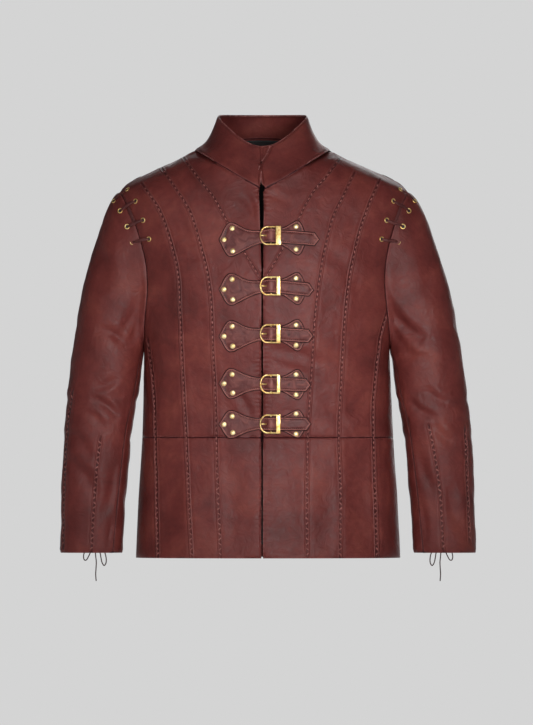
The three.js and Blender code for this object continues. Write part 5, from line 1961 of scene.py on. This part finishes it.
@dataclass
class Closures:
    """The five closures: straps, tabs, rivets, buckles and prongs."""

    strap_thick: float = 2.2
    strap_half: float = 12.5
    strap_start: float = -81.0
    tab_thick: float = 1.6
    tab_point: float = 76.0
    tab_neck: float = 12.0
    tab_share: float = 0.8
    on_panel: float = 0.3
    rivet_radius: float = 4.8
    rivet_dome: float = 1.7
    rivet_inset: float = 11.0
    spare_x: float = 43.0
    buckle: Buckle = field(default_factory=Buckle)

    def build(self, cloth: Cloth, finishes: Finishes) -> None:
        """Builds every closure.

        Args:
            cloth: The finished cloth pieces.
            finishes: The jacket's materials.
        """
        surface = Surface([cloth.pieces[n] for n in cloth.pieces if n.startswith("front")])
        rivet = self.rivet()
        thread = self.thread_bit()
        for number, closure in enumerate(CLOSURES, 1):
            ground = Ground(surface, closure.shield_z)
            strap = self.strap(closure)
            piece = strap.build(ground, f"strap_{number}_leather")
            self.punch(piece, ground, closure)
            finish_piece(piece, f"strap_{number}_leather", [finishes.strap], [f"strap_{number}"])
            tab = self.tab(closure)
            piece = tab.build(ground, f"tab_{number}_leather")
            fold = self.tab_fold(closure, ground)
            select_only(piece)
            fold.select_set(True)
            bpy.ops.object.join()
            finish_piece(piece, f"tab_{number}_leather", [finishes.strap], [f"tab_{number}"])
            self.build_rivets(number, closure, ground, rivet, finishes)
            self.build_buckle(number, closure, ground, finishes)
            seams = strap.stitches(ground, 3.4) + tab.stitches(ground, 3.4)
            sewn = copies(f"closure_thread_{number}", thread, seams)
            finish_piece(sewn, f"closure_thread_{number}", [finishes.thread])

    def shield_half(self, along: float, closure: Closure) -> float:
        """Half height of a shield at a distance from its point."""
        return table_value(SHIELD, along) * closure.shield / 2

    def middle(self, x: float, closure: Closure) -> float:
        """Middle height of the strap at x."""
        if x < self.buckle.bar_x:
            t = min(1.0, max(0.0, (x + 40) / (self.buckle.bar_x + 40)))
            return closure.shield_z + (closure.buckle_z - closure.shield_z) * t * t * (3 - 2 * t)
        t = min(1.0, (x - self.buckle.bar_x) / (closure.end_x - self.buckle.bar_x))
        return closure.buckle_z + (closure.end_z - closure.buckle_z) * t

    def strap(self, closure: Closure) -> StitchedLeather:
        """Works out the strap: a shield that narrows to a belt with a pointed end."""
        point = 9.0

        def half(x: float) -> float:
            """Half height of the strap at x."""
            if x > closure.end_x - point:
                return max(0.5, self.strap_half * (closure.end_x - x) / point)
            if x > self.strap_start + SHIELD[-1][0]:
                return self.strap_half
            return self.shield_half(x - self.strap_start, closure)

        outline = Outline(half, lambda x: self.middle(x, closure), self.strap_start, closure.end_x)
        # painted highlight on the hump where the strap rises over the bar, and wear at the strap's end
        band_wear_and_highlight = ((self.buckle.bar_x, 3.2, 0.6), (closure.end_x, 7.0, closure.end_worn))
        return StitchedLeather(outline, lambda x: table_value(STRAP_RISE, x), self.strap_thick, wear=band_wear_and_highlight)

    def tab(self, closure: Closure) -> StitchedLeather:
        """Works out the tab: the opposite shield, down to the neck that runs to the buckle's bar."""
        neck_x = 19.0

        def half(x: float) -> float:
            """Half height of the tab at x."""
            shield = self.shield_half((self.tab_point - x) / self.tab_share, closure)
            return max(shield, self.tab_neck * (x < 30))

        outline = Outline(half, lambda x: self.middle(x, closure), neck_x, self.tab_point)
        return StitchedLeather(outline, lambda x: self.on_panel, self.tab_thick, open_ends=(neck_x,))

    def punch(self, piece: bpy.types.Object, ground: Ground, closure: Closure) -> None:
        """Presses the spare hole into the strap's face and paints shade into it.

        Args:
            piece: The strap.
            ground: The front under it.
            closure: The closure.
        """
        points = coordinates(piece)
        layer = piece.data.attributes["dyed"].data
        dark = np.empty(len(points), np.float32)
        layer.foreach_get("value", dark)
        x = self.spare_x
        centre, normal = ground.at(x, self.middle(x, closure), table_value(STRAP_RISE, x) + self.strap_thick)
        off = np.linalg.norm(points - np.array(centre), axis=1) / MM
        pressed = closure.spare * np.exp(-((off / 1.9) ** 2))
        points -= np.array(normal)[None, :] * (pressed * MM)[:, None]
        # painted shade in the pressed hole
        dark = np.maximum(dark, 1.2 * pressed)
        set_coordinates(piece, points)
        layer.foreach_set("value", dark.astype(np.float32))

    def tab_fold(self, closure: Closure, ground: Ground) -> bpy.types.Object:
        """Models the tab's neck where it runs to the bar, turns round it and ends on itself.

        Args:
            closure: The closure.
            ground: The front under it.

        Returns:
            The folded neck, open in the middle for the prong.
        """
        b = self.buckle
        r = b.bar_radius + 0.3 + 0.6
        path = [(19.0, 1.1), (16.0, 1.2), (b.bar_x + 1.4, b.bar_out - r + 0.2)]
        path += [
            (b.bar_x - r * math.cos(math.radians(a)), b.bar_out + r * math.sin(math.radians(a)))
            for a in range(-70, 91, 20)
        ]
        path += [(b.bar_x + 2.4, b.bar_out + r - 0.2), (b.bar_x + 4.6, b.bar_out + r - 1.6)]
        heights = np.linspace(-self.tab_neck, self.tab_neck, 13)
        points = []
        for x, out in path:
            for h in heights:
                points.append(ground.at(x, self.middle(b.bar_x, closure) + h, out)[0])
        n = len(heights)
        slot = 2.7
        faces = [
            (i * n + j, i * n + j + 1, (i + 1) * n + j + 1, (i + 1) * n + j)
            for i in range(len(path) - 1)
            for j in range(n - 1)
            if i < 2 or abs(heights[j] + heights[j + 1]) / 2 > slot
        ]
        piece = mesh_object("tab_fold", points, faces)
        apply_modifier(piece, "SOLIDIFY", thickness=1.0 * MM, offset=0.0, use_rim=True)
        apply_modifier(piece, "SUBSURF", levels=1, render_levels=1)
        return piece

    def rivet(self) -> Shape:
        """Models one domed rivet: half a flattened sphere.

        Returns:
            Its points and faces, with its foot at z 0.
        """
        bpy.ops.object.select_all(action="DESELECT")
        bpy.ops.mesh.primitive_uv_sphere_add(segments=24, ring_count=16, radius=self.rivet_radius * MM)
        piece = bpy.context.object
        bpy.ops.object.mode_set(mode="EDIT")
        bpy.ops.mesh.select_all(action="SELECT")
        bpy.ops.mesh.bisect(plane_co=(0, 0, 0), plane_no=(0, 0, 1), clear_inner=True, use_fill=True)
        bpy.ops.object.mode_set(mode="OBJECT")
        points = coordinates(piece)
        points[:, 2] *= (self.rivet_dome + 0.4) / self.rivet_radius
        set_coordinates(piece, points - [0, 0, 0.3 * MM])
        return take_mesh(piece)

    def thread_bit(self) -> Shape:
        """Models one thread stitch: a short capsule along local x."""
        bpy.ops.object.select_all(action="DESELECT")
        bpy.ops.mesh.primitive_uv_sphere_add(
            segments=8, ring_count=5, radius=0.5, rotation=(0, math.radians(90), 0))
        piece = bpy.context.object
        bpy.ops.object.transform_apply(rotation=True)
        set_coordinates(piece, coordinates(piece) * [2.7 * MM, 0.8 * MM, 0.7 * MM])
        return take_mesh(piece)

    def build_rivets(
        self, number: int, closure: Closure, ground: Ground, rivet: Shape, finishes: Finishes,
    ) -> None:
        """Sets the five rivets of one closure.

        Args:
            number: Number of the closure.
            closure: The closure.
            ground: The front under it.
            rivet: Points and faces of one rivet.
            finishes: The jacket's materials.
        """
        reach = closure.shield / 2 - self.rivet_inset
        strap_face = self.on_panel + self.strap_thick
        tab_face = self.on_panel + self.tab_thick
        beside = max(reach, self.strap_half + self.rivet_radius + 2 * self.on_panel)
        tab_x = self.tab_point - 20
        spots = [
            (self.strap_start + 9.5, closure.shield_z, strap_face),
            (self.strap_start + 24, closure.shield_z + reach, strap_face),
            (self.strap_start + 25, closure.shield_z - reach, strap_face),
            (tab_x, self.middle(tab_x, closure) + beside, tab_face),
            (tab_x, self.middle(tab_x, closure) - beside, tab_face),
        ]
        places = []
        for x, z, face in spots:
            point, normal = ground.at(x, z, face)
            places.append(place_on(point, normal, Vector((1, 0, 0))))
        piece = copies(f"rivets_{number}", rivet, places)
        finish_piece(piece, f"rivets_{number}", [finishes.rivet_brass])

    def build_buckle(self, number: int, closure: Closure, ground: Ground, finishes: Finishes) -> None:
        """Places one buckle and its prong.

        Args:
            number: Number of the closure.
            closure: The closure.
            ground: The front under it.
            finishes: The jacket's materials.
        """
        b = self.buckle
        point, normal = ground.at(b.bar_x, closure.buckle_z)
        place = place_on(point, normal, Vector((1, 0, 0))) @ Matrix.Translation((-b.bar_x * MM, 0, 0))
        for kind, parts in (("buckle", b.parts(closure.keeper)), ("prong", b.prong())):
            select_only(parts[0])
            for part in parts:
                part.select_set(True)
            bpy.ops.object.join()
            piece = parts[0]
            bpy.ops.object.transform_apply(location=True, rotation=True, scale=True)
            piece.data.transform(place)
            finish_piece(
                piece, f"{kind}_{number}_brass", [finishes.brass], [f"{kind}_{number}"], angle=40
            )


# ---- shoulder laces
@dataclass(frozen=True)
class LaceRow:
    """One shoulder lace: its holes on the body and on the sleeve, from the middle line."""

    body: float
    body_z: float
    sleeve: float
    sleeve_z: float


LACES = (
    LaceRow(243, -67, 268, -87),
    LaceRow(229, -88, 256.5, -105),
    LaceRow(216.5, -122, 245, -133),
    LaceRow(206.5, -155.5, 236, -161),
)


@dataclass
class ShoulderLaces:
    """Flat laces across the front of each armhole seam, through brass eyelets."""

    ring_radius: float = 3.9
    ring_thick: float = 1.05
    wide: float = 6.4
    thick: float = 2.4
    bulge: float = 3.8

    def build(self, cloth: Cloth, finishes: Finishes) -> None:
        """Builds the laces of both shoulders.

        Args:
            cloth: The finished cloth pieces.
            finishes: The jacket's materials.
        """
        eyelet = self.eyelet()
        hole = self.hole()
        for side in Side:
            front = f"front_{side.word}_upper"
            sleeve = f"sleeve_{side.word}_top"
            rings = []
            middles = []
            for number, row in enumerate(LACES, 1):
                a = self.spot(front, cloth, side, row.body, row.body_z)
                b = self.spot(sleeve, cloth, side, row.sleeve, row.sleeve_z)
                rings += [place_on(*spot, Vector((1, 0, 0)), 0.1 * MM) for spot in (a, b)]
                middles.append(self.build_lace(f"lace_{side.word}_{number}", a, b, finishes))
            piece = copies(f"eyelets_{side.word}", eyelet, rings)
            finish_piece(piece, f"eyelets_{side.word}", [finishes.brass])
            # a dark dish in each eyelet as painted shade
            piece = copies(f"eyelet_holes_{side.word}", hole, rings)
            finish_piece(piece, f"eyelet_holes_{side.word}", [finishes.lining])
            self.build_seam_strand(f"seam_strand_{side.word}", middles[1], middles[2], finishes)

    def spot(self, node: str, cloth: Cloth, side: Side, half: float, z: float) -> tuple[Vector, Vector]:
        """Finds the place of one hole: seen from the front on the solid, then moved onto the finished cloth.

        Args:
            node: CAD node that has the hole.
            cloth: The finished cloth pieces.
            side: The wearer's side.
            half: Distance from the middle line.
            z: Height.

        Returns:
            Point and outward normal.
        """
        found = Surface([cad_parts[node]]).hit(drift(z) + side.value * half, z)
        point, _ = Surface([cloth.pieces[node]]).nearest(found[0])
        return point, found[1]

    def eyelet(self) -> Shape:
        """Models one rolled eyelet ring."""
        bpy.ops.object.select_all(action="DESELECT")
        bpy.ops.mesh.primitive_torus_add(
            major_radius=self.ring_radius * MM, minor_radius=self.ring_thick * MM, major_segments=28,
            minor_segments=10, location=(0, 0, 0.5 * MM))
        piece = bpy.context.object
        bpy.ops.object.transform_apply(location=True)
        return take_mesh(piece)

    def hole(self) -> Shape:
        """Models the painted shade inside an eyelet: a shallow dark dish."""
        bpy.ops.object.select_all(action="DESELECT")
        bpy.ops.mesh.primitive_circle_add(vertices=20, radius=self.ring_radius * MM, fill_type="TRIFAN")
        piece = bpy.context.object
        points = coordinates(piece)
        reach = np.hypot(points[:, 0], points[:, 1])
        points[:, 2] = 0.25 * MM + 0.1 * reach
        set_coordinates(piece, points)
        return take_mesh(piece)

    def build_lace(
        self, node: str, a: tuple[Vector, Vector], b: tuple[Vector, Vector], finishes: Finishes
    ) -> tuple[Vector, Vector]:
        """Lays one lace from hole to hole, arched over the seam and dipping into both eyelets.

        Args:
            node: CAD node that the lace stands for.
            a: Point and normal of the body's hole.
            b: Point and normal of the sleeve's hole.
            finishes: The jacket's materials.

        Returns:
            Point and normal under the lace's middle.
        """
        steps = 22
        columns = 9
        points = []
        across = (b[0] - a[0]).cross((a[1] + b[1]) / 2).normalized()
        for i in range(steps + 1):
            t = i / steps
            normal = a[1].lerp(b[1], t).normalized()
            base = a[0].lerp(b[0], t)
            arch = math.sin(math.pi * t) ** 0.55
            sag = 0.6 * math.sin(2 * math.pi * t)
            middle = base + normal * (self.bulge * arch - 0.7 * (1 - arch)) * MM + across * sag * MM
            narrow = 0.62 + 0.38 * math.sin(math.pi * t) ** 0.7
            for j in range(columns):
                angle = math.pi * 2 * j / columns
                u = math.cos(angle) * self.wide / 2 * narrow
                v = math.sin(angle) * self.thick / 2
                points.append(middle + across * u * MM + normal * v * MM)
        faces = [
            (i * columns + j, i * columns + (j + 1) % columns, (i + 1) * columns + (j + 1) % columns,
             (i + 1) * columns + j)
            for i in range(steps)
            for j in range(columns)
        ]
        faces += [tuple(range(columns - 1, -1, -1)), tuple(steps * columns + j for j in range(columns))]
        piece = mesh_object(node, points, faces)
        self.turn_out(piece)
        apply_modifier(piece, "SUBSURF", levels=1, render_levels=1)
        finish_piece(piece, node + "_leather", [finishes.flat_lace], [node], angle=80)
        return (a[0] + b[0]) / 2, ((a[1] + b[1]) / 2).normalized()

    @staticmethod
    def turn_out(piece: bpy.types.Object) -> None:
        """Points a closed mesh's faces outwards."""
        select_only(piece)
        bpy.ops.object.mode_set(mode="EDIT")
        bpy.ops.mesh.select_all(action="SELECT")
        bpy.ops.mesh.normals_make_consistent(inside=False)
        bpy.ops.object.mode_set(mode="OBJECT")

    def build_seam_strand(
        self, name: str, a: tuple[Vector, Vector], b: tuple[Vector, Vector], finishes: Finishes
    ) -> None:
        """Lays the short flat strand that runs down the seam between the second and third lace.

        Args:
            name: Name of the piece.
            a: Point and normal under the second lace.
            b: Point and normal under the third lace.
            finishes: The jacket's materials.
        """
        steps = 10
        half = 2.6 * MM
        across = (b[0] - a[0]).cross((a[1] + b[1]) / 2).normalized()
        points = []
        for i in range(steps + 1):
            t = i / steps
            normal = a[1].lerp(b[1], t).normalized()
            middle = a[0].lerp(b[0], t) + normal * (1.3 + 0.8 * math.sin(math.pi * t)) * MM
            for j in range(5):
                u = j / 2 - 1
                points.append(middle + across * u * half + normal * 0.45 * (1 - u * u) * MM)
        corners = [i * 5 + j for i in range(steps) for j in range(4)]
        faces = [(k, k + 1, k + 6, k + 5) for k in corners]
        piece = mesh_object(name, points, faces)
        apply_modifier(piece, "SOLIDIFY", thickness=0.9 * MM, offset=-1.0, use_rim=True)
        apply_modifier(piece, "SUBSURF", levels=1, render_levels=1)
        finish_piece(piece, name, [finishes.flat_lace], angle=80)


def main() -> None:
    """Builds the whole scene in order."""
    logging.basicConfig(level=logging.INFO, format="%(name)s: %(message)s")
    Studio().build()
    finishes = Finishes()
    CuffLaces().build(finishes)
    cloth = Cloth()
    cloth.build(finishes)
    LaceStitches().build(cloth, finishes)
    Closures().build(cloth, finishes)
    ShoulderLaces().build(cloth, finishes)


if __name__ == "__main__":
    main()
